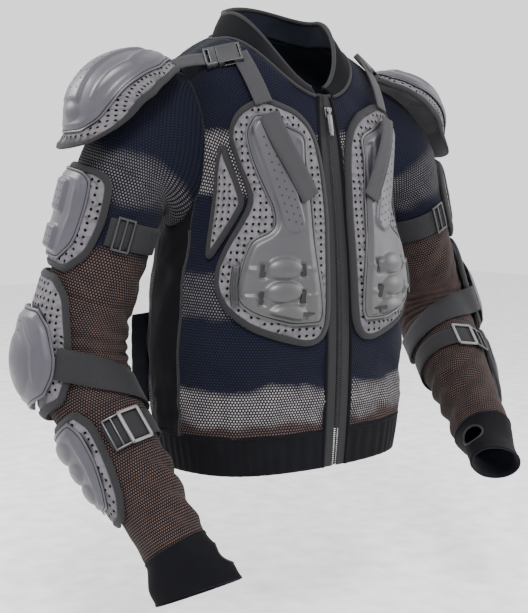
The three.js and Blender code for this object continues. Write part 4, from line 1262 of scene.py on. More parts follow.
@dataclass
class Ribbon:
    """Flat webbing along a path on a form."""

    name: str
    place: Place
    path: Sequence[Sequence[float]]
    width: float
    thickness: float = 1.8
    steps: int = 60

    def frames(self) -> tuple[Array, Array, Array]:
        """Returns: the line, its cross direction and its outward direction."""
        path = np.array(self.path, float)
        length = travelled(path[:, :2])
        flat = sampled(path, length, np.linspace(0, length[-1], self.steps))
        for _ in range(6):
            flat[1:-1] = (flat[:-2] + 2 * flat[1:-1] + flat[2:]) / 4
        line = laid(self.place, flat, flat[:, 2])
        across = across_line(line, unit(laid(self.place, flat, flat[:, 2] + 1) - line))
        return line, across, unit(np.cross(across, np.gradient(line, axis=0)))

    def build(self, material: bpy.types.Material) -> bpy.types.Object:
        """Makes the webbing."""
        line, across, up = self.frames()
        return sweep(self.name, line, across, up, tape_profile(self.width, self.thickness), material)

    def seat(self, share: float) -> Matrix:
        """The frame on top of the webbing at a share of its length: X along it, Z outward."""
        line, across, up = self.frames()
        i = int(share * (len(line) - 1))
        along = unit(np.gradient(line, axis=0)[i])
        return frame_matrix(line[i] + up[i] * self.thickness, along, np.cross(up[i], along), up[i])


def tri_glide(name: str, seat: Matrix, width: float, length: float, material: bpy.types.Material
              ) -> bpy.types.Object:
    """A strap adjuster: two rails and three bars."""
    rails = [moulded_block(f"{name}_rail", (length, 3.6, 3.4), (0, s * (width / 2 + 2.2), 0.9), seat, material)
             for s in (-1, 1)]
    bars = [moulded_block(f"{name}_bar", (3.2, width + 4, 3.0), (x, 0, 1.6), seat, material)
            for x in (-length / 2 + 1.6, 0, length / 2 - 1.6)]
    return joined(name, rails + bars)


def framed_ring(name: str, seat: Matrix, length: float, width: float, material: bpy.types.Material
                ) -> bpy.types.Object:
    """A flat rectangular ring."""
    sides = [moulded_block(f"{name}_side", (length, 4.2, 3.2), (0, s * (width / 2 - 2.1), 1.2), seat, material)
             for s in (-1, 1)]
    ends = [moulded_block(f"{name}_end", (4.2, width, 3.2), (s * (length / 2 - 2.1), 0, 1.2), seat, material)
            for s in (-1, 1)]
    return joined(name, sides + ends)


ZIP_EDGE, FRONT_SEAM, BACK_SEAM = 0.092, 1.35, 1.85
ZIP_TAPE, ZIP_WELT, SLIDER_HEIGHT = 0.051, 0.096, -78


@dataclass
class BodyCloth(Assembly):
    """The front, side and back panels, the collar and the hem."""

    def build(self) -> "BodyCloth":
        """Makes the cloth of the body."""
        for side in Side:
            self._front(side)
            self._side(side)
        self._back()
        self._hem()
        self._collar()
        return self

    def _in_armhole(self, points: Array) -> Array:
        """Whether points lie in an armhole."""
        deep, high = (points[..., 1] - ARMHOLE_Y) / ARMHOLE_DEPTH, (points[..., 2] - ARMHOLE_Z) / ARMHOLE_HEIGHT
        return deep**2 + high**2 < 1

    def _edge(self, v: Array, start: float, seam: Array) -> Array:
        """Where a panel stops on each ring: at its seam, or at the armhole before it."""
        share = np.linspace(0, 1, 500)
        theta = start + (seam[:, None] - start) * share[None]
        cut = self._in_armhole(TORSO.skin(theta, np.broadcast_to(v[:, None], theta.shape)))
        first = np.where(cut.any(1), cut.argmax(1), len(share) - 1)
        return theta[np.arange(len(v)), first]

    def _rows(self) -> Array:
        """The rings of the panels' rows, evenly spaced down the body."""
        v = np.linspace(TORSO.collar_seam, TORSO.hem_seam, 400)
        z = TORSO.skin(np.full(400, 1.0), v)[:, 2]
        return np.interp(np.linspace(z[0], z[-1], 116), z[::-1], v[::-1])

    def _panel(self, name: str, theta: Array, v: Array) -> Cloth:
        """A panel from its grid of angles and rings."""
        points, outward = grid(TORSO.by_ring, theta, v)
        return Cloth(name, points, outward, row_uv(points), torso_folds(theta, points[..., 2]))

    def _front(self, side: Side) -> None:
        """A front panel, from the zip to the shoulder, the armhole and the side seam."""
        v = self._rows()
        seam = np.where(v <= ARMHOLE_RING, math.pi / 2, FRONT_SEAM)
        edge = self._edge(v, ZIP_EDGE, seam)
        share = np.linspace(0, 1, 60)
        theta = side.value * (ZIP_EDGE + (edge[:, None] - ZIP_EDGE) * share)
        cloth = self._panel(f"front_panel_{side.word}", theta, np.broadcast_to(v[:, None], theta.shape))
        self.lay(cloth, "root", "stretched", ["collar", f"side_panel_{side.word}"], "mesh", cloth.name,
                 self.finishes.net)

    def _back(self) -> None:
        """The back panel."""
        v = self._rows()
        seam = np.where(v <= ARMHOLE_RING, math.pi / 2, BACK_SEAM)
        edge = self._edge(v, math.pi, seam)
        share = np.linspace(-1, 1, 110)
        theta = math.pi + (math.pi - edge[:, None]) * share
        cloth = self._panel("back_panel", theta, np.broadcast_to(v[:, None], theta.shape))
        self.lay(cloth, "root", "stretched", ["collar"], "mesh", "back_panel", self.finishes.net)

    def _side(self, side: Side) -> None:
        """A side panel below the armhole."""
        angles = np.linspace(FRONT_SEAM, BACK_SEAM, 22)
        v = np.linspace(4.8, TORSO.hem_seam, 600)
        inside = self._in_armhole(TORSO.skin(angles[None], np.broadcast_to(v[:, None], (600, 22))))
        top = v[np.where(inside, np.arange(600)[:, None], 0).max(0)]
        share = np.linspace(0, 1, 80)[:, None]
        rings = np.maximum(top, ARMHOLE_RING)[None] * (1 - share) + TORSO.hem_seam * share
        theta = np.broadcast_to(side.value * angles[None], rings.shape)
        cloth = self._panel(f"side_panel_{side.word}", theta, rings)
        self.lay(cloth, "root", "stretched", ["back_panel", f"front_panel_{side.word}"], "lycra", cloth.name,
                 self.finishes.lycra)
        for seam, word in ((FRONT_SEAM, "front"), (BACK_SEAM, "back")):
            rings = np.linspace(5.7, TORSO.hem_seam, 120)
            line, up = grid(TORSO.by_ring, np.full(120, side.value * seam), rings)
            line = line + up * torso_folds(np.full(120, side.value * seam), line[:, 2])[:, None]
            piping = seam_sweep(f"side_seam_{word}_{side.word}", line, up, piping_profile(2.6, -0.6, 0.5, 1.2),
                                self.finishes.binding)
            self.settle([piping], "root", "lycra")

    def _hem(self) -> None:
        """The gathered elastic hem."""
        theta = np.broadcast_to(np.linspace(ZIP_EDGE, 2 * math.pi - ZIP_EDGE, 420)[None], (14, 420))
        v = np.broadcast_to(np.linspace(TORSO.hem_seam + 0.012, TORSO.hem_end, 14)[:, None], theta.shape)
        points, outward = grid(TORSO.by_ring, theta, v)
        held = np.sin(np.linspace(0.15, 0.85, 14) * np.pi)[:, None]
        gather = 0.6 * np.sin(theta * 70 + 1.5 * np.sin(theta * 9)) * held
        cloth = Cloth("hem_band", points, outward, row_uv(points), 0.8 + gather, 3.0)
        self.lay(cloth, "root", "gathered", ["back_panel"], "lycra", "hem_band", self.finishes.lycra)
        line, up = grid(TORSO.by_ring, theta[0], np.full(420, TORSO.hem_seam))
        seam = seam_sweep("hem_seam", line, up, piping_profile(2.8, -3, 0.9, 1.7), self.finishes.lycra)
        self.settle([seam], "root", "lycra")

    def collar_place(self, theta: Array, rise: Array, offset: Array) -> Array:
        """A point of the standing collar."""
        theta, rise, offset = np.broadcast_arrays(theta, rise, offset)
        foot = TORSO.skin(theta, np.full(theta.shape, TORSO.collar_seam - 0.1))
        c, s = np.cos(theta), np.sin(theta)
        top = np.stack([80 * s, -np.where(c > 0, 100, 62) * c, 64 + (np.where(c > 0, -44, 84) - 64) * c * c], -1)
        outward = unit(np.stack([s, -c, 0.35 * (1 - rise)], -1))
        return foot + (top - foot) * rise[..., None] + outward * offset[..., None]

    def _collar(self) -> None:
        """The collar and the tape bound over its rim."""
        edge = ZIP_EDGE + 0.05
        theta = np.broadcast_to(np.linspace(edge, 2 * math.pi - edge, 150)[None], (16, 150))
        rise = np.broadcast_to(np.linspace(0, 1, 16)[:, None], theta.shape)
        points, outward = grid(self.collar_place, theta, rise)
        swell = 1.2 * np.sin(np.pi * rise) + 0.5 * waves(theta * 90, rise * 40, 21, longest=60)
        cloth = Cloth("collar", points, outward, row_uv(points), swell, 3.4)
        self.lay(cloth, "root", "stretched", ["back_panel"], "lycra", "collar", self.finishes.lycra)
        line, up = self.collar_place(theta[0], np.ones(150), np.full(150, -1.2)), outward[-1]
        across = across_line(line, up)
        rim = np.array([(-3.6, -2.4), (-3.6, 2.2), (-1.0, 3.2), (1.2, 2.4), (1.8, 0), (1.2, -2.4), (-1.0, -3.0)])
        across = across * np.sign(across[75, 2] or 1)
        binding = sweep("collar_binding", line, across, up, rim, self.finishes.binding)
        piping = seam_sweep("collar_seam", *grid(TORSO.by_ring, theta[0], np.full(150, TORSO.collar_seam + 0.02)),
                            piping_profile(2.4, -0.8, 1.0, 1.9), self.finishes.binding)
        self.settle([binding, piping], "root", "lycra")


@dataclass
class FrontZip(Assembly):
    """The zip down the front: tapes, teeth, slider and pull."""

    def build(self) -> "FrontZip":
        """Makes the zip."""
        v = np.linspace(0.02, TORSO.hem_end, 150)
        pieces = []
        for sign in (-1, 1):
            line, up = grid(TORSO.by_ring, np.full(150, sign * ZIP_TAPE), v)
            pieces.append(seam_sweep(f"zip_tape_{sign + 1}", line, up, tape_profile(15.6, 1.2, -1.6),
                                     self.finishes.zip_tape))
        pieces += [self._teeth(), self._welts()]
        self.settle(pieces, "root", "zip", "front_zip")
        self._slider()
        return self

    def _teeth(self) -> bpy.types.Object:
        """Two rows of moulded teeth, locked into each other."""
        v = np.linspace(0.02, TORSO.hem_end, 2000)
        line = TORSO.by_ring(np.zeros(len(v)), v, 0)
        length = travelled(line)
        at = np.arange(1.5, length[-1] - 1, 1.4)
        centre = sampled(line, length, at)
        down = unit(sampled(line, length, at + 0.5) - centre)
        out = unit(np.cross(down, (1.0, 0, 0)))
        out *= np.sign(-out[:, 1:2])
        points, faces = [], []
        for i, (c, d, n) in enumerate(zip(centre, down, out)):
            side = 1 if i % 2 else -1
            start = len(points)
            for lift in (-1.6, 0.8):
                for x, t in ((-0.6, 0.55), (4.2, 0.55), (4.2, -0.55), (-0.6, -0.55)):
                    points.append(c + np.array([side * x, 0, 0]) + d * t + n * lift)
            faces += [tuple(start + k for k in f) for f in
                      ((0, 1, 2, 3), (7, 6, 5, 4), (0, 4, 5, 1), (1, 5, 6, 2), (2, 6, 7, 3), (3, 7, 4, 0))]
        return make_object("zip_teeth", np.array(points), faces, None, (self.finishes.vent,), None, False)

    def _welts(self) -> bpy.types.Object:
        """The rolled edges of the front panels beside the zip."""
        v = np.linspace(TORSO.collar_seam, TORSO.hem_end, 150)
        rolled = np.array([(-2.8, -1.2), (2.8, -1.2), (2.8, 0.6), (1.4, 1.9), (-1.4, 1.9), (-2.8, 0.6)])
        return joined("zip_welts", [
            seam_sweep(f"zip_welt_{sign + 1}", *grid(TORSO.by_ring, np.full(150, sign * ZIP_WELT), v), rolled,
                       self.finishes.lycra) for sign in (-1, 1)])

    def _seat(self, z: float) -> Matrix:
        """The frame on the zip at a height: X to the side, Y up the zip, Z outward."""
        angle = math.asin((z - TORSO.arc_z) / TORSO.arc_radius)
        out = np.array([0, -math.cos(angle), math.sin(angle)])
        up = np.array([0, math.sin(angle), math.cos(angle)])
        return frame_matrix(np.array([0, -float(TORSO.front_depth(z)), z]), np.array([1.0, 0, 0]), up, out)

    def _slider(self) -> None:
        """The slider body with its bridge, and the pull hanging from it."""
        seat, metal = self._seat(SLIDER_HEIGHT), self.finishes.metal
        body = moulded_block("zip_slider_plate", (10, 15, 2.4), (0, 0, 2.5), seat, metal, 0.9)
        bridge = [moulded_block("zip_slider_lug", (1.7, 5.6, 3.6), (s * 3.6, 3, 5.0), seat, metal, 0.5)
                  for s in (-1, 1)]
        self.settle([joined("zip_slider", [body] + bridge)], "zip_slider", "metal", "zip_slider")
        neck = moulded_block("zip_pull_neck", (4.4, 8, 1.8), (0, 1, 6.0), seat, metal, 0.5)
        grip = moulded_block("zip_pull_grip", (8.2, 26, 1.9), (0, -16.5, 6.0), seat, metal, 0.8, recess=0.3)
        tip = moulded_block("zip_pull_tip", (6.2, 6, 1.8), (0, -30.5, 6.0), seat, metal, 0.8)
        self.settle([joined("zip_pull", [neck, grip, tip])], "zip_pull", "metal", "zip_pull")


CHEST_PAD = [(-64, 112, 127), (-78, 66, 157), (-96, 40, 173), (-118, 27, 177), (-150, 21, 164), (-196, 18, 144),
             (-226, 17, 156), (-256, 17, 173), (-288, 17, 186), (-316, 17, 184), (-342, 17, 167), (-368, 19, 128),
             (-386, 26, 80), (-394, 38, 52)]
CHEST_SHELL = [(-84, 108, 132), (-97, 86, 143), (-108, 56, 148), (-120, 49, 147), (-146, 50, 140), (-190, 46, 119),
               (-212, 45, 108), (-236, 43, 106), (-252, 41, 136), (-284, 36, 147), (-316, 31, 152),
               (-336, 29, 145), (-352, 28, 118), (-366, 32, 70)]
RIB_PAD = [(-124, 185, 195), (-140, 180, 202), (-165, 167, 206), (-200, 153, 208), (-216, 159, 208),
           (-250, 179, 207), (-276, 197, 206)]
VENT_HEIGHTS = (-281, -317, -350)


def slot_pit(x: Array, y: Array, left: float, right: float, top: float, bottom: float, depth: float) -> Array:
    """A sunk slot with soft edges."""
    return -depth * smoothstep(x, left - 1, left + 1.5) * (1 - smoothstep(x, right - 1.5, right + 1)) \
        * (1 - smoothstep(y, top - 1, top + 1)) * smoothstep(y, bottom - 1.5, bottom + 1.5)


def tapered_bar(x: Array, y: Array, start: Sequence[float], stop: Sequence[float], wide: float, narrow: float,
                soft: float = 3.0) -> Array:
    """From 1 inside a round-ended bar that narrows to its far end, down to 0 around it."""
    t, distance = from_line(x, y, start, stop)
    return 1 - smoothstep(distance - mix(wide, narrow, t), -soft, 0)


def chest_relief(x: Array, y: Array, inside: Array) -> Array:
    """Three domes down the lower lobe, slotted vents beside them, and a drilled lobe above."""
    domes = np.maximum.reduce([bump(x, y, cx, cy, 25, 15.5, 8.0, 0.55)
                               for cx, cy in ((87, -289), (86, -320), (80, -350))])
    lobe = 4.2 * tapered_bar(x, y, (116, -104), (77, -228), 22, 16)
    window = -3.0 * tapered_bar(x, y, (66, -128), (60, -178), 10, 3)
    bars = np.zeros(x.shape)
    for z in VENT_HEIGHTS:
        bars = np.maximum(bars, 2.4 * tapered_bar(x, y, (123, z - 10), (150, z - 7), 5.0, 0.8))
        bars = np.maximum(bars, 2.2 * tapered_bar(x, y, (50, z - 10), (32, z - 7), 4.6, 0.8))
    rim = 2.2 * tapered_bar(x, y, (54, -116), (50, -226), 3.6, 2.4)
    pits = sum(slot_pit(x, y, left, right, z, z - 21, 3.6)
               for z in VENT_HEIGHTS for left, right in ((109, 120), (53, 64)))
    raised = np.maximum.reduce([domes, lobe, bars, rim])
    return smoothstep(inside, 6, 11) * (raised + window + np.where(domes > 0.4, 0, pits))


@dataclass
class ChestGuard(Guard):
    """A chest guard: one side of the front armour."""

    side: Side = Side.RIGHT

    def dress(self, shell: MouldedShell, pieces: list) -> None:
        """Dark plates in the openings of the vents beside the domes: painted shade."""
        sign, openings = self.side.value, []
        for z in VENT_HEIGHTS:
            for inner, outer, far in ((111, 118.5, 146), (62, 54.5, 36)):
                openings.append([(inner, z - 2), (outer, z - 2), (outer, z - 19), (inner, z - 19)])
                openings.append([(inner, z + 3), (inner, z - 3), (far, z - 0.5), (far, z + 0.5)])
        openings = [[(sign * x, y) for x, y in opening] for opening in openings]
        keep = [opening for opening in openings if clearance(np.array(opening), shell.outline).min() > 6]
        pieces.append(shell.patch(f"chest_vents_{self.side.word}", keep, self.finishes.vent))


@dataclass
class ChestArmour(Assembly):
    """Chest and rib guards with their straps and loops."""

    def build(self) -> "ChestArmour":
        """Makes the guards of both sides."""
        for side in Side:
            self._guards(side)
            self._straps(side)
        return self

    def _mirrored(self, rows: Sequence[Sequence[float]], side: Side) -> list:
        """The rows on one side, with the smaller edge first."""
        return [(z, *sorted((side.value * a, side.value * b))) for z, a, b in rows]

    @staticmethod
    def place(x: Array, y: Array, offset: Array) -> Array:
        """A point of the chest: the distance round it and the height."""
        return TORSO.by_height(np.asarray(x, float) / CHEST_ROUND, y, offset)

    def _guards(self, side: Side) -> None:
        """The chest guard and the rib pad."""
        sign = side.value
        columns = [(sign * (mix(116, 77, t) + across), mix(-104, -228, t) + 0.3 * across)
                   for t in np.arange(0.12, 1.02, 0.088) for across in ((9, -2) if t < 0.6 else (9, -1, -10))]
        ChestGuard(self.finishes, name="chest", side_name=side.word, place=self.place, side=side, arm=False,
                   pad_rows=self._mirrored(CHEST_PAD, side), shell_rows=self._mirrored(CHEST_SHELL, side),
                   relief=lambda x, y, inside: chest_relief(sign * x, y, inside), holes=columns).build()
        Guard(self.finishes, name="rib", side_name=side.word, place=self.place,
              pad_rows=self._mirrored(RIB_PAD, side)).build()

    def _straps(self, side: Side) -> None:
        """The diagonal strap over the guard and the loop at its outer edge."""
        sign = side.value
        path = [(112, -86, 19), (96, -118, 20.5), (74, -156, 20.5), (51, -196, 17.5)]
        strap = Ribbon(f"chest_strap_{side.word}", self.place, [(sign * x, y, o) for x, y, o in path], 28)
        strip = strap.build(self.finishes.webbing)
        # A thin near-black strip along one edge of the strap: painted shade beside the strap.
        shade = Ribbon(f"chest_strap_slot_{side.word}", self.place,
                       [(sign * (x + 12.5), y - 6.5, o + 0.5) for x, y, o in path], 4.0)
        loop = Ribbon(f"side_loop_{side.word}", self.place,
                      [(sign * 153, -286, 13.0), (sign * 154, -311, 14.0), (sign * 150, -337, 13.0)], 11, 2.6)
        # A near-black strip along the loop: painted shade in its slot.
        slot = Ribbon(f"side_loop_slot_{side.word}", self.place,
                      [(sign * 153.5, -293, 15.9), (sign * 154, -311, 16.9), (sign * 151, -330, 15.9)], 4.5, 0.8)
        self.settle([strip, shade.build(self.finishes.vent)], "root", "webbing")
        self.settle([loop.build(self.finishes.buckle), slot.build(self.finishes.vent)], "root", "buckle")


@dataclass
class ShoulderBuckle(Assembly):
    """The release buckle on a shoulder and the webbing to the shoulder guard."""

    side: Side = Side.RIGHT

    def __post_init__(self) -> None:
        """Finds the buckle's frame on the shoulder."""
        sign = self.side.value
        theta, v = np.array(sign * 1.2), np.array(2.05)
        normal = TORSO.normal(theta, v)
        origin = TORSO.by_ring(theta, v, np.array(6.2))
        target = np.array([sign * SHOULDER_X, -12, SHOULDER_Z + CUP_UP]) - origin
        along = unit(target - normal * (target @ normal))
        self.origin, self.along, self.across, self.normal = origin, along, np.cross(normal, along), normal
        self.seat = frame_matrix(origin, along, self.across, normal)

    def build(self) -> "ShoulderBuckle":
        """Makes both halves and the webbing."""
        word, black = self.side.word, self.finishes.buckle
        def block(name: str, size: tuple, centre: tuple, **options: float) -> bpy.types.Object:
            """A block in the buckle's frame."""
            return moulded_block(f"{name}_{word}", size, centre, self.seat, black, **options)
        socket = [block("socket_top", (29, 36, 2.0), (-14.5, 0, 3.5), bevel=0.8, recess=0.6),
                  block("socket_bottom", (29, 36, 1.8), (-14.5, 0, -3.6), bevel=0.6),
                  block("socket_end", (3.4, 36, 8.8), (-32.2, 0, 0), bevel=1.4),
                  block("socket_bar", (3.4, 30, 8.0), (-25.5, 0, 0), bevel=1.0)]
        socket += [block("socket_rail", (7.4, 3.6, 8.0), (-3.8, s * 16.2, 0), bevel=0.8) for s in (-1, 1)]
        socket += [block("socket_arm", (13, 3.4, 8.4), (-27.5, s * 16.3, 0), bevel=1.2) for s in (-1, 1)]
        plug = [block("plug_base", (10, 36, 8.8), (5.6, 0, 0), bevel=1.6),
                block("plug_end", (3.0, 36, 7.4), (15.1, 0, 0), bevel=1.2)]
        plug += [block("plug_arm", (9, 4.6, 8.4), (12, s * 15.6, 0), bevel=1.2) for s in (-1, 1)]
        plug += [block("plug_prong", (24, 4.8, 4.2), (-9.5, lane * 11, 0), bevel=0.8) for lane in (-1, 0, 1)]
        self.settle([joined(f"buckle_socket_{word}", socket)], "root", "buckle", f"buckle_socket_{word}")
        released = f"buckle_plug_{word}"
        self.settle([joined(released, plug)], released, "buckle", released)
        self._webbing()
        return self

    def _webbing(self) -> None:
        """The strap from the plug to the cup, and the tape that holds the socket."""
        word, arm = self.side.word, ArmForm(self.side)
        start = self.origin + self.along * 17.3
        stop = arm.cup(np.array(6.0), np.array(-26.0), np.array(4.0))
        t = np.linspace(0, 1, 30)
        line = start + (stop - start) * t[:, None] + self.normal * (3 * np.sin(np.pi * t))[:, None]
        across = np.broadcast_to(self.across, line.shape)
        up = unit(np.cross(np.gradient(line, axis=0), across))
        up *= np.sign((up * self.normal).sum(1).mean())
        strap = sweep(f"shoulder_strap_{word}", line, across, up, tape_profile(25, 2.0, -1.0),
                      self.finishes.webbing)
        share = smoothstep(np.repeat(t, 8), 0, 1)
        blend_by(strap, "root", f"upper_arm_{word}", share)
        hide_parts(f"shoulder_strap_{word}")
        sign = self.side.value
        reach = self.origin - self.along * 30
        chest = ChestArmour.place(np.array([sign * 120.0]), np.array([-72.0]), np.array([11.5]))[0]
        line = reach + (chest - reach) * t[:, None]
        bow = unit(self.normal + TORSO.normal(np.array(sign * 0.65), np.array(1.9)))
        line = line + bow * (4 * np.sin(np.pi * t))[:, None]
        side_way = across_line(line, bow)
        tape = sweep(f"socket_tape_{word}", line, side_way, unit(np.cross(side_way, np.gradient(line, axis=0))),
                     tape_profile(25, 1.8, -0.9), self.finishes.webbing)
        self.settle([tape], "root", "webbing")


@dataclass
class SpinePlate(Guard):
    """One overlapping plate of the back guard."""

    top: float = 0.0
    bottom: float = 0.0

    def build(self) -> "SpinePlate":
        """Makes the plate, which stands off the one below it at its lower end."""
        shape = ((0, 0.28), (0.12, 0.37), (0.5, 0.41), (0.88, 0.35), (1, 0.22))
        rows = outline_rows([(mix(self.top, self.bottom, t), -half * BACK_ROUND, half * BACK_ROUND)
                             for t, half in shape])
        def stood(x: Array, y: Array, offset: Array) -> Array:
            """A point of the back, lifted towards the plate's lower end."""
            t = (self.top - np.asarray(y, float)) / (self.top - self.bottom)
            return spine_place(x, y, offset + 8.5 * smoothstep(t, 0.55, 0.9))
        middle = (self.top + self.bottom) / 2
        def relief(x: Array, y: Array, inside: Array) -> Array:
            """A rib on either side and a low crest."""
            ribs = mirrored_ridges(x, y, [(8, middle + 42), (22, middle), (10, middle - 40)], 2.4, 1.5)
            return smoothstep(inside, 6, 12) * (ribs + 0.6 * np.exp(-(x / 4)**2))
        shell = MouldedShell(self.name, rows, stood, 16.0, 1.6, 1.6, relief, 2.4)
        holes = [(x, middle + y) for y in (-24, -12, 0, 12, 24) for x in (-13, 0, 13)]
        pieces = [shell.build(self.finishes.shell), shell.seam(self.finishes.dark_thread)]
        if self.top < 0:
            pieces.append(shell.holes(holes, self.finishes.vent, 1.9))
        else:
            pieces.append(self._rest_face())
        self.settle(pieces, self.body, "shell", self.name)
        return self

    def _rest_face(self) -> bpy.types.Object:
        """The flat raised face between the shoulder blades."""
        theta, z = np.array(math.pi), np.array(-62.0)
        normal = TORSO.normal(theta, TORSO.ring_at(theta, z))
        centre = spine_place(np.array(0.0), z, np.array(23.0 - 3.4))
        across = np.array([1.0, 0, 0])
        seat = frame_matrix(centre, across, np.cross(normal, across), normal)
        return moulded_block("spine_rest_face", (56, 60, 6.8), (0, 0, 0), seat, self.finishes.shell, 1.0)


def spine_place(x: Array, y: Array, offset: Array) -> Array:
    """A point of the back: the distance from its middle and the height."""
    return TORSO.by_height(math.pi + np.asarray(x, float) / BACK_ROUND, y, offset)


@dataclass
class BackArmour(Assembly):
    """The spine pad, its plates and the kidney belt."""

    def build(self) -> "BackArmour":
        """Makes the back guard."""
        rows = [(8, -0.34, 0.34), (-60, -0.5, 0.5), (-200, -0.5, 0.5), (-360, -0.44, 0.44), (-450, -0.5, 0.5),
                (-505, -0.36, 0.36)]
        outline = closed_outline(outline_rows([(z, a * BACK_ROUND, b * BACK_ROUND) for z, a, b in rows]))
        def place(x: Array, y: Array, offset: Array) -> Array:
            """A point of the pad, whose foot is lifted over the belt."""
            t = (8 - np.asarray(y, float)) / 513
            return spine_place(x, y, np.asarray(offset, float) + 5.6 * smoothstep(t, 0.4, 0.66)
                               * (1 - smoothstep(offset, 6, 13)))
        pad = PerforatedPad("spine_pad", outline, place, 1.8, 14.2)
        pieces = self.pad_pieces(pad)
        self.settle(pieces, "root", "pad", "spine_pad")
        spans = ((2, -135), (-121, -262), (-248, -385), (-371, -494))
        for i, (top, bottom) in enumerate(spans, 1):
            body = "root" if i == 1 else f"spine_plate_{i}"
            SpinePlate(self.finishes, name=f"spine_plate_{i}", body=body, top=top, bottom=bottom).build()
        self._belt()
        return self

    def _belt(self) -> None:
        """The elastic kidney belt, stitched in channels."""
        count = 190
        theta = np.broadcast_to(np.linspace(1.98, 2 * math.pi - 1.98, count)[None], (30, count))
        z = np.broadcast_to(np.linspace(-362, -492, 30)[:, None], theta.shape)
        s = np.linspace(0, 1, count)[None]
        away = 18 * np.maximum(0, np.abs(2 * s - 1) * 3 - 2)**2
        points, outward = grid(TORSO.by_height, theta, z)
        channel = 0.7 * np.abs(np.sin(np.linspace(0, 6, 30) * np.pi))[:, None]
        cloth = Cloth("kidney_belt", points, outward, row_uv(points), 4.2 + away + channel, 2.8)
        self.lay(cloth, "root", "stretched", ["back_panel"], "webbing", "kidney_belt", self.finishes.elastic)


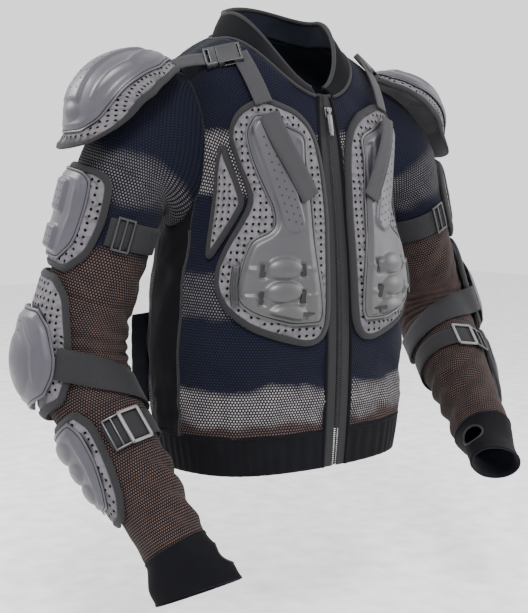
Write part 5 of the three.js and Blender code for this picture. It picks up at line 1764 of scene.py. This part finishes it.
@dataclass
class Sleeve(Assembly):
    """One arm: its cloth, its cuff, its guards and its straps."""

    side: Side = Side.RIGHT
    columns: int = 84

    def __post_init__(self) -> None:
        """Sets up the arm's form and names."""
        self.arm = ArmForm(self.side)
        self.upper_body, self.fore_body = f"upper_arm_{self.side.word}", f"forearm_{self.side.word}"
        self.angles = np.arange(self.columns) * 2 * np.pi / self.columns

    def build(self) -> "Sleeve":
        """Makes the arm."""
        self._head()
        word, head = self.side.word, self.arm.head_end(self.angles)
        self._tube("upper_sleeve", head, -GUSSET, 34, self.upper_body, "stretched", f"sleeve_head_{word}")
        self._tube("elbow_gusset", -GUSSET, GUSSET, 44, None, "gathered", f"upper_sleeve_{word}")
        self._tube("forearm_sleeve", GUSSET, CUFF_START, 40, self.fore_body, "stretched", f"elbow_gusset_{word}")
        self._cuff()
        self._guards()
        self._straps()
        return self

    def _fold(self, angle: Array, along: Array) -> Array:
        """The sleeve's folds."""
        return sleeve_folds(angle, along, 31 + self.side.value)

    def _sheet_uv(self, angle: Array, along: Array) -> Array:
        """Surface coordinates that run on from piece to piece of the sleeve."""
        return np.stack(np.broadcast_arrays(angle * BAND_ROUND, along + UPPER_LENGTH), -1)

    def _tube(self, node: str, start: Array, stop: float, rows: int, body: Optional[str], held: str,
              rests_on: str) -> None:
        """A length of the sleeve; one without a body of its own only has its place baked into its mesh."""
        along = np.stack([np.full(self.columns, mix(start, stop, t)) for t in np.linspace(0, 1, rows)])
        angle = np.broadcast_to(self.angles, along.shape)
        points, outward = grid(self.arm.place, angle, along)
        name = f"{node}_{self.side.word}"
        cloth = Cloth(name, points, outward, self._sheet_uv(angle, along), self._fold(angle, along), 2.0, True)
        share = np.tile(self.bend_share(along).ravel(), 2)
        self.lay(cloth, body or self.upper_body, held, [rests_on], "mesh", name, self.finishes.sleeve_net,
                 None if body else (self.upper_body, self.fore_body, share))

    @staticmethod
    def bend_share(along: Array) -> Array:
        """How far cloth at the elbow follows the forearm."""
        return smoothstep(along, -GUSSET, GUSSET)

    def _bend(self, piece: bpy.types.Object, guard: bool = False) -> None:
        """Works out how far each point of a piece follows the forearm, and passes it to blend_by, which only bakes
        the piece's place into its mesh.

        Args:
            piece: the piece, each point taken as the sleeve under it.
            guard: whether the share stays at the elbow shell's share as far as the shell goes.
        """
        along, angle = np.meshgrid(np.arange(-130, 131, 2.0), np.arange(0, 2 * np.pi, 0.1), indexing="ij")
        samples = self.arm.place(angle, along, np.full(angle.shape, 8.0)).reshape(-1, 3)
        points = np.array([v.co for v in piece.data.vertices]) / MM
        nearest = np.concatenate([np.argmin(((part[:, None] - samples[None])**2).sum(-1), 1)
                                  for part in np.array_split(points, len(points) // 400 + 1)])
        along = along.ravel()[nearest]
        share = self.bend_share(along)
        if guard:
            share = mix(GUARD_SHARE, share, smoothstep(abs(along + 10), 62, 104))
        blend_by(piece, self.upper_body, self.fore_body, share)

    def _head(self) -> None:
        """The sleeve head, from the armhole to the slanted end of the sleeve."""
        arm, angle = self.arm, self.angles
        finish = arm.place(angle, arm.head_end(angle), np.zeros(self.columns))
        away = finish - arm.shoulder
        spin = np.arctan2(away[:, 1], self.side.value * away[:, 0] + 0.25 * away[:, 2])
        y = ARMHOLE_Y + (ARMHOLE_DEPTH - 0.4) * np.sin(spin)
        z = ARMHOLE_Z + (ARMHOLE_HEIGHT - 0.4) * np.cos(spin)
        start = np.stack([self.side.value * (TORSO.half_width(y, z) - 1), y, z], -1)
        pull = np.linalg.norm(finish - start, axis=1, keepdims=True) * 1.05
        leave = unit(np.stack([np.full(len(y), float(self.side.value)), 0 * y, 0.12 * np.cos(spin)], -1)) * pull
        arrive = arm.upper * pull
        t = np.linspace(0, 1, 26)[:, None, None]
        points = (start * (2 * t**3 - 3 * t**2 + 1) + leave * (t**3 - 2 * t**2 + t)
                  + finish * (3 * t**2 - 2 * t**3) + arrive * (t**3 - t**2))
        along = np.linspace(-70, 0, 26)[:, None] + arm.head_end(angle)[None]
        reach = arm.head_end(angle)[None] - np.linspace(1, 0, 26)[:, None] * np.linalg.norm(finish - start, axis=1)
        starting = smoothstep(np.linspace(0, 1, 26), 0, 0.4)[:, None]
        fold = self._fold(np.broadcast_to(angle, along.shape), along) * starting
        cloth = Cloth(f"sleeve_head_{self.side.word}", points, outward_of(points),
                      self._sheet_uv(np.broadcast_to(angle, along.shape) * 1.3, reach), fold, 2.0, True)
        share = np.tile(np.repeat(smoothstep(np.linspace(0, 1, 26), 0, 1), self.columns), 2)
        self.lay(cloth, "root", "gathered", [f"front_panel_{self.side.word}", "back_panel"], "mesh", cloth.name,
                 self.finishes.sleeve_net, ("root", self.upper_body, share))

    def _cuff(self) -> None:
        """The cuff over the back of the hand, with its thumb opening."""
        arm = self.arm
        wide, flat = arm.hand()
        wrist = float(arm.radius(np.array(CUFF_START)))
        t, angle = np.meshgrid(np.linspace(0, 1, 30), self.angles, indexing="ij")
        swell = smoothstep(t, 0, 0.7)
        half_wide, half_deep = mix(wrist, CUFF_HALF_WIDE, swell), mix(wrist, CUFF_HALF_DEEP, swell)
        reach = mix(CUFF_START, FOREARM_LENGTH + 12 * np.cos(angle), t)
        points = (arm.elbow + arm.fore * reach[..., None] + wide * (half_wide * np.cos(angle))[..., None]
                  + flat * (half_deep * np.sin(angle))[..., None])
        rolls = 1.3 * np.exp(-((t - 0.03) / 0.035)**2) + 1.1 * np.exp(-((t - 0.97) / 0.03)**2)
        lift = rolls + 0.5 * waves(angle * 50, reach, 44, longest=50)
        cloth = Cloth(f"cuff_{self.side.word}", points, outward_of(points),
                      np.stack([angle * 50, reach], -1), lift, 2.6, True)
        piece = self.lay(cloth, self.fore_body, "stretched", [f"forearm_sleeve_{self.side.word}"], "lycra",
                         cloth.name, self.finishes.lycra)
        self._thumb(piece, wide)

    def _thumb(self, piece: bpy.types.Object, wide: Array) -> None:
        """Cuts the thumb opening and binds its edge."""
        arm, radius = self.arm, 17.0
        centre = arm.elbow + arm.fore * THUMB_ALONG + wide * CUFF_HALF_WIDE
        bpy.ops.object.select_all(action="DESELECT")
        bpy.ops.mesh.primitive_cylinder_add(vertices=40, radius=radius * MM, depth=0.04)
        tool = bpy.context.active_object
        tool.name = f"thumb_tool_{self.side.word}"
        turn = Vector((0, 0, 1)).rotation_difference(Vector(wide)).to_matrix().to_4x4()
        tool.data.transform(Matrix.Translation(Vector(centre * MM)) @ turn)
        finish_modifier(piece, "BOOLEAN", operation="DIFFERENCE", object=tool, solver="EXACT")
        bpy.data.objects.remove(tool)
        spin = np.linspace(0, 2 * np.pi, 49)[:-1]
        flat = unit(np.cross(wide, arm.fore))
        along, beside = THUMB_ALONG + radius * np.cos(spin), radius * np.sin(spin)
        swell = smoothstep((along - CUFF_START) / (FOREARM_LENGTH + 11 - CUFF_START), 0, 0.7)
        wrist = float(arm.radius(np.array(CUFF_START)))
        half_wide, half_deep = mix(wrist, CUFF_HALF_WIDE, swell), mix(wrist, CUFF_HALF_DEEP, swell)
        height = half_wide * np.sqrt(1 - (beside / half_deep)**2) - 0.8
        ring = arm.elbow + arm.fore * along[:, None] + flat * beside[:, None] + wide * height[:, None]
        out = np.broadcast_to(wide, ring.shape)
        side_way = unit(np.cross(np.roll(ring, -1, 0) - np.roll(ring, 1, 0), out))
        binding = sweep(f"thumb_binding_{self.side.word}", ring, side_way, out, round_profile(1.6, 8),
                        self.finishes.binding, True)
        self.settle([binding], self.fore_body, "lycra")

    def _around(self, facing: float, radius: float) -> Place:
        """A place function of the arm: the distance round it from a facing, and along from the elbow."""
        middle = math.radians(facing)
        def place(x: Array, y: Array, offset: Array) -> Array:
            """A point of the sleeve."""
            return self.arm.place(middle + np.asarray(x, float) / radius, y, offset)
        return place

    @staticmethod
    def _arm_rows(rows: Sequence[Sequence[float]], radius: float, shift: float = 0.0) -> list:
        """Rows of along and half angle as rows of along and both edges."""
        return [(along + shift, -math.radians(half) * radius, math.radians(half) * radius) for along, half in rows]

    def _guards(self) -> None:
        """The shoulder, upper-arm, elbow and forearm guards."""
        word, rows = self.side.word, self._arm_rows
        def cup(x: Array, y: Array, offset: Array) -> Array:
            """A point of the shoulder cup, from lengths instead of angles."""
            return self.arm.cup(*(np.degrees(np.asarray(v, float) / CUP_ROUND) for v in (x, y)), offset)
        def cup_rows(values: Sequence[Sequence[float]]) -> list:
            """Rows of angles as rows of lengths."""
            return [tuple(math.radians(v) * CUP_ROUND for v in row) for row in values]
        Guard(self.finishes, "shoulder", self.upper_body, word, cup, crown=3.2,
              pad_rows=cup_rows([(-24, -30, 34), (0, -52, 56), (40, -62, 66), (82, -60, 60), (110, -50, 48),
                                 (125, -34, 32)]),
              shell_rows=cup_rows([(-14, -22, 26), (6, -40, 44), (40, -46, 48), (76, -44, 42), (98, -34, 30),
                                   (109, -20, 16)]),
              relief=shoulder_relief, holes=[(x, y) for y in range(16, 112, 12) for x in (-7, 7)]).build()
        Guard(self.finishes, "upper_arm", self.upper_body, word, self._around(UPPER_FACING, 70), crown=3.2,
              pad_rows=rows([(84, 44), (95, 60), (146, 64), (194, 56), (224, 34)], 70, -UPPER_LENGTH),
              shell_rows=rows([(91, 28), (101, 40), (140, 42), (184, 38), (212, 22)], 70, -UPPER_LENGTH),
              relief=upper_relief,
              holes=[(x, y) for y in (-231, -221, -211, -201, -169, -159, -149) for x in (-9, 0, 9)]).build()
        Guard(self.finishes, "elbow", self.upper_body, word, self._around(FORE_FACING, 72), crown=4.0,
              pad_stand=3, shell_stand=7.4,
              pad_rows=rows([(-112, 34), (-88, 56), (-30, 66), (30, 62), (62, 44)], 72),
              shell_rows=rows([(-66, 30), (-44, 46), (0, 52), (28, 46), (46, 32)], 72), relief=elbow_relief,
              shell_body=f"elbow_guard_{word}", blend=lambda piece: self._bend(piece, True),
              holes=[(x, y) for y in (-48, -38) for x in (-9, 0, 9)]).build()
        Guard(self.finishes, "forearm", self.fore_body, word, self._around(FORE_FACING, 60), crown=3.2,
              pad_rows=rows([(80, 50), (110, 62), (160, 58), (206, 46), (232, 26)], 60),
              shell_rows=rows([(88, 38), (112, 45), (150, 43), (186, 32), (208, 18)], 60),
              relief=forearm_relief).build()

    def _band(self, name: str, along: float, width: float, first: float, last: float, offset: float) -> Ribbon:
        """A strap round the arm, from one angle to another."""
        angles = np.radians(np.linspace(first, last, 40))
        return Ribbon(f"{name}_{self.side.word}", self._around(0, BAND_ROUND),
                      [(a * BAND_ROUND, along, offset) for a in angles], width, 2.0)

    def _straps(self) -> None:
        """The straps of the three arm guards, with their adjusters."""
        word, black = self.side.word, self.finishes.buckle
        upper = self._band("upper_arm_strap", 156 - UPPER_LENGTH, 38, 120, 340, 1.4)
        glide = tri_glide(f"upper_arm_glide_{word}", upper.seat(0.10), 38, 26, black)
        self.settle([upper.build(self.finishes.elastic), glide], self.upper_body, "webbing",
                    f"upper_arm_strap_{word}")
        fore = self._band("forearm_strap", 132, 36, FORE_FACING + 68, FORE_FACING + 292, 1.4)
        glide = tri_glide(f"forearm_glide_{word}", fore.seat(0.07), 38, 26, black)
        ring = framed_ring(f"forearm_ring_{word}", fore.seat(0.19), 34, 48, self.finishes.pale_ring)
        self.settle([fore.build(self.finishes.elastic), glide, ring], self.fore_body, "webbing",
                    f"forearm_strap_{word}")
        turns = np.radians(np.linspace(50, 276, 60))
        facing = math.radians(FORE_FACING)
        path = [((facing + a) * BAND_ROUND, 42 - 46 * math.cos(a - 0.17),
                 mix(15.5, 3.0, float(smoothstep(a, 1.12, 1.45)))) for a in turns]
        band = Ribbon(f"elbow_strap_{word}", self._around(0, BAND_ROUND), path, 42, 2.0)
        elbow = band.build(self.finishes.elastic)
        self._bend(elbow)
        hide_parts(f"elbow_strap_{word}")


def shoulder_relief(x: Array, y: Array, inside: Array) -> Array:
    """Leaf-shaped ridges either side of a drilled crest, and a bump at its foot."""
    leaves = mirrored_ridges(x, y, [(22, -2), (46, 44), (34, 112)], 4.2, 3.6)
    crest = 3.2 * smoothstep(-np.abs(x), -18, -13) * smoothstep(y, -2, 10) * (1 - smoothstep(y, 112, 122))
    return smoothstep(inside, 6, 12) * (np.maximum(leaves, crest) + bump(x, y, 0, 130, 18, 13, 4.0, 0.7))


def upper_relief(x: Array, y: Array, inside: Array) -> Array:
    """Two drilled blocks with ridges beside them."""
    blocks = 4.5 * smoothstep(-np.abs(x), -18, -14) * np.maximum(
        smoothstep(-np.abs(y + 216), -24, -19), smoothstep(-np.abs(y + 159), -18, -14))
    ribs = mirrored_ridges(x, y, [(30, -240), (35, -195), (27, -150)], 3.0, 2.2)
    return smoothstep(inside, 6, 12) * np.maximum(blocks, ribs)


def elbow_relief(x: Array, y: Array, inside: Array) -> Array:
    """The raised nose of the elbow and its side ridges."""
    nose = bump(x, y, 0, -2, 32, 36, 5.5, 0.7)
    ribs = mirrored_ridges(x, y, [(16, -54), (40, -20), (34, 24)], 3.4, 2.4)
    return smoothstep(inside, 5, 11) * np.maximum(nose, ribs)


def forearm_relief(x: Array, y: Array, inside: Array) -> Array:
    """Three stepped bumps down the forearm."""
    steps = np.maximum.reduce([bump(x, y, 0, at, wide, 15, 5.0, 0.6)
                               for at, wide in ((114, 25), (146, 23), (177, 18))])
    ribs = mirrored_ridges(x, y, [(32, 104), (33, 150), (21, 190)], 2.8, 2.0)
    return smoothstep(inside, 5, 11) * np.maximum(steps, ribs)


# ---------------------------------------------------------------------------- stage and camera
def add_light(name: str, place: Sequence[float], size: float, power: float) -> None:
    """A soft square light that faces the object."""
    light = bpy.data.lights.new(name, "AREA")
    light.size, light.energy = size, power
    lamp = bpy.data.objects.new(name, light)
    lamp.location = place
    lamp.rotation_euler = (Vector((0, 0, -0.3)) - lamp.location).to_track_quat("-Z", "Y").to_euler()
    bpy.context.scene.collection.objects.link(lamp)


def build_stage() -> None:
    """A pale floor, a near-white surround, three soft lights and the camera."""
    bpy.ops.object.select_all(action="DESELECT")
    bpy.ops.mesh.primitive_plane_add(size=12, location=(0, 0, -0.86))
    floor = bpy.context.active_object
    floor.name = "floor"
    matt = HardFinish("floor", (0.86, 0.86, 0.86), 0.9, coat=0.0, grain=40, relief=0.0)
    floor.data.materials.append(matt.build())
    world = bpy.data.worlds.new("surround")
    world.use_nodes = True
    world.node_tree.nodes["Background"].inputs[0].default_value = (0.93, 0.935, 0.94, 1)
    world.node_tree.nodes["Background"].inputs[1].default_value = 1.6
    bpy.context.scene.world = world
    add_light("key", (-1.5, -2.0, 1.9), 0.9, 120)
    add_light("fill", (2.4, -1.4, 0.6), 1.6, 40)
    add_light("rim", (-1.6, 2.0, 1.5), 1.2, 70)
    azimuth, elevation, distance = math.radians(-38), math.radians(6), 1.7
    away = Vector((math.sin(azimuth) * math.cos(elevation), -math.cos(azimuth) * math.cos(elevation),
                   math.sin(elevation)))
    target = Vector((0, 0, -0.357)) - 0.0134 * Vector((0.788, -0.616, 0))
    camera = bpy.data.cameras.new("camera")
    camera.lens, camera.sensor_width = 67, 36
    holder = bpy.data.objects.new("camera", camera)
    holder.location = target + away * distance
    holder.rotation_euler = away.to_track_quat("Z", "Y").to_euler()
    bpy.context.scene.collection.objects.link(holder)
    bpy.context.scene.camera = holder


def main() -> None:
    finishes = Finishes()
    BodyCloth(finishes).build()
    FrontZip(finishes).build()
    ChestArmour(finishes).build()
    BackArmour(finishes).build()
    for side in Side:
        ShoulderBuckle(finishes, side=side).build()
        Sleeve(finishes, side=side).build()
    build_stage()


if __name__ == "__main__":
    main()
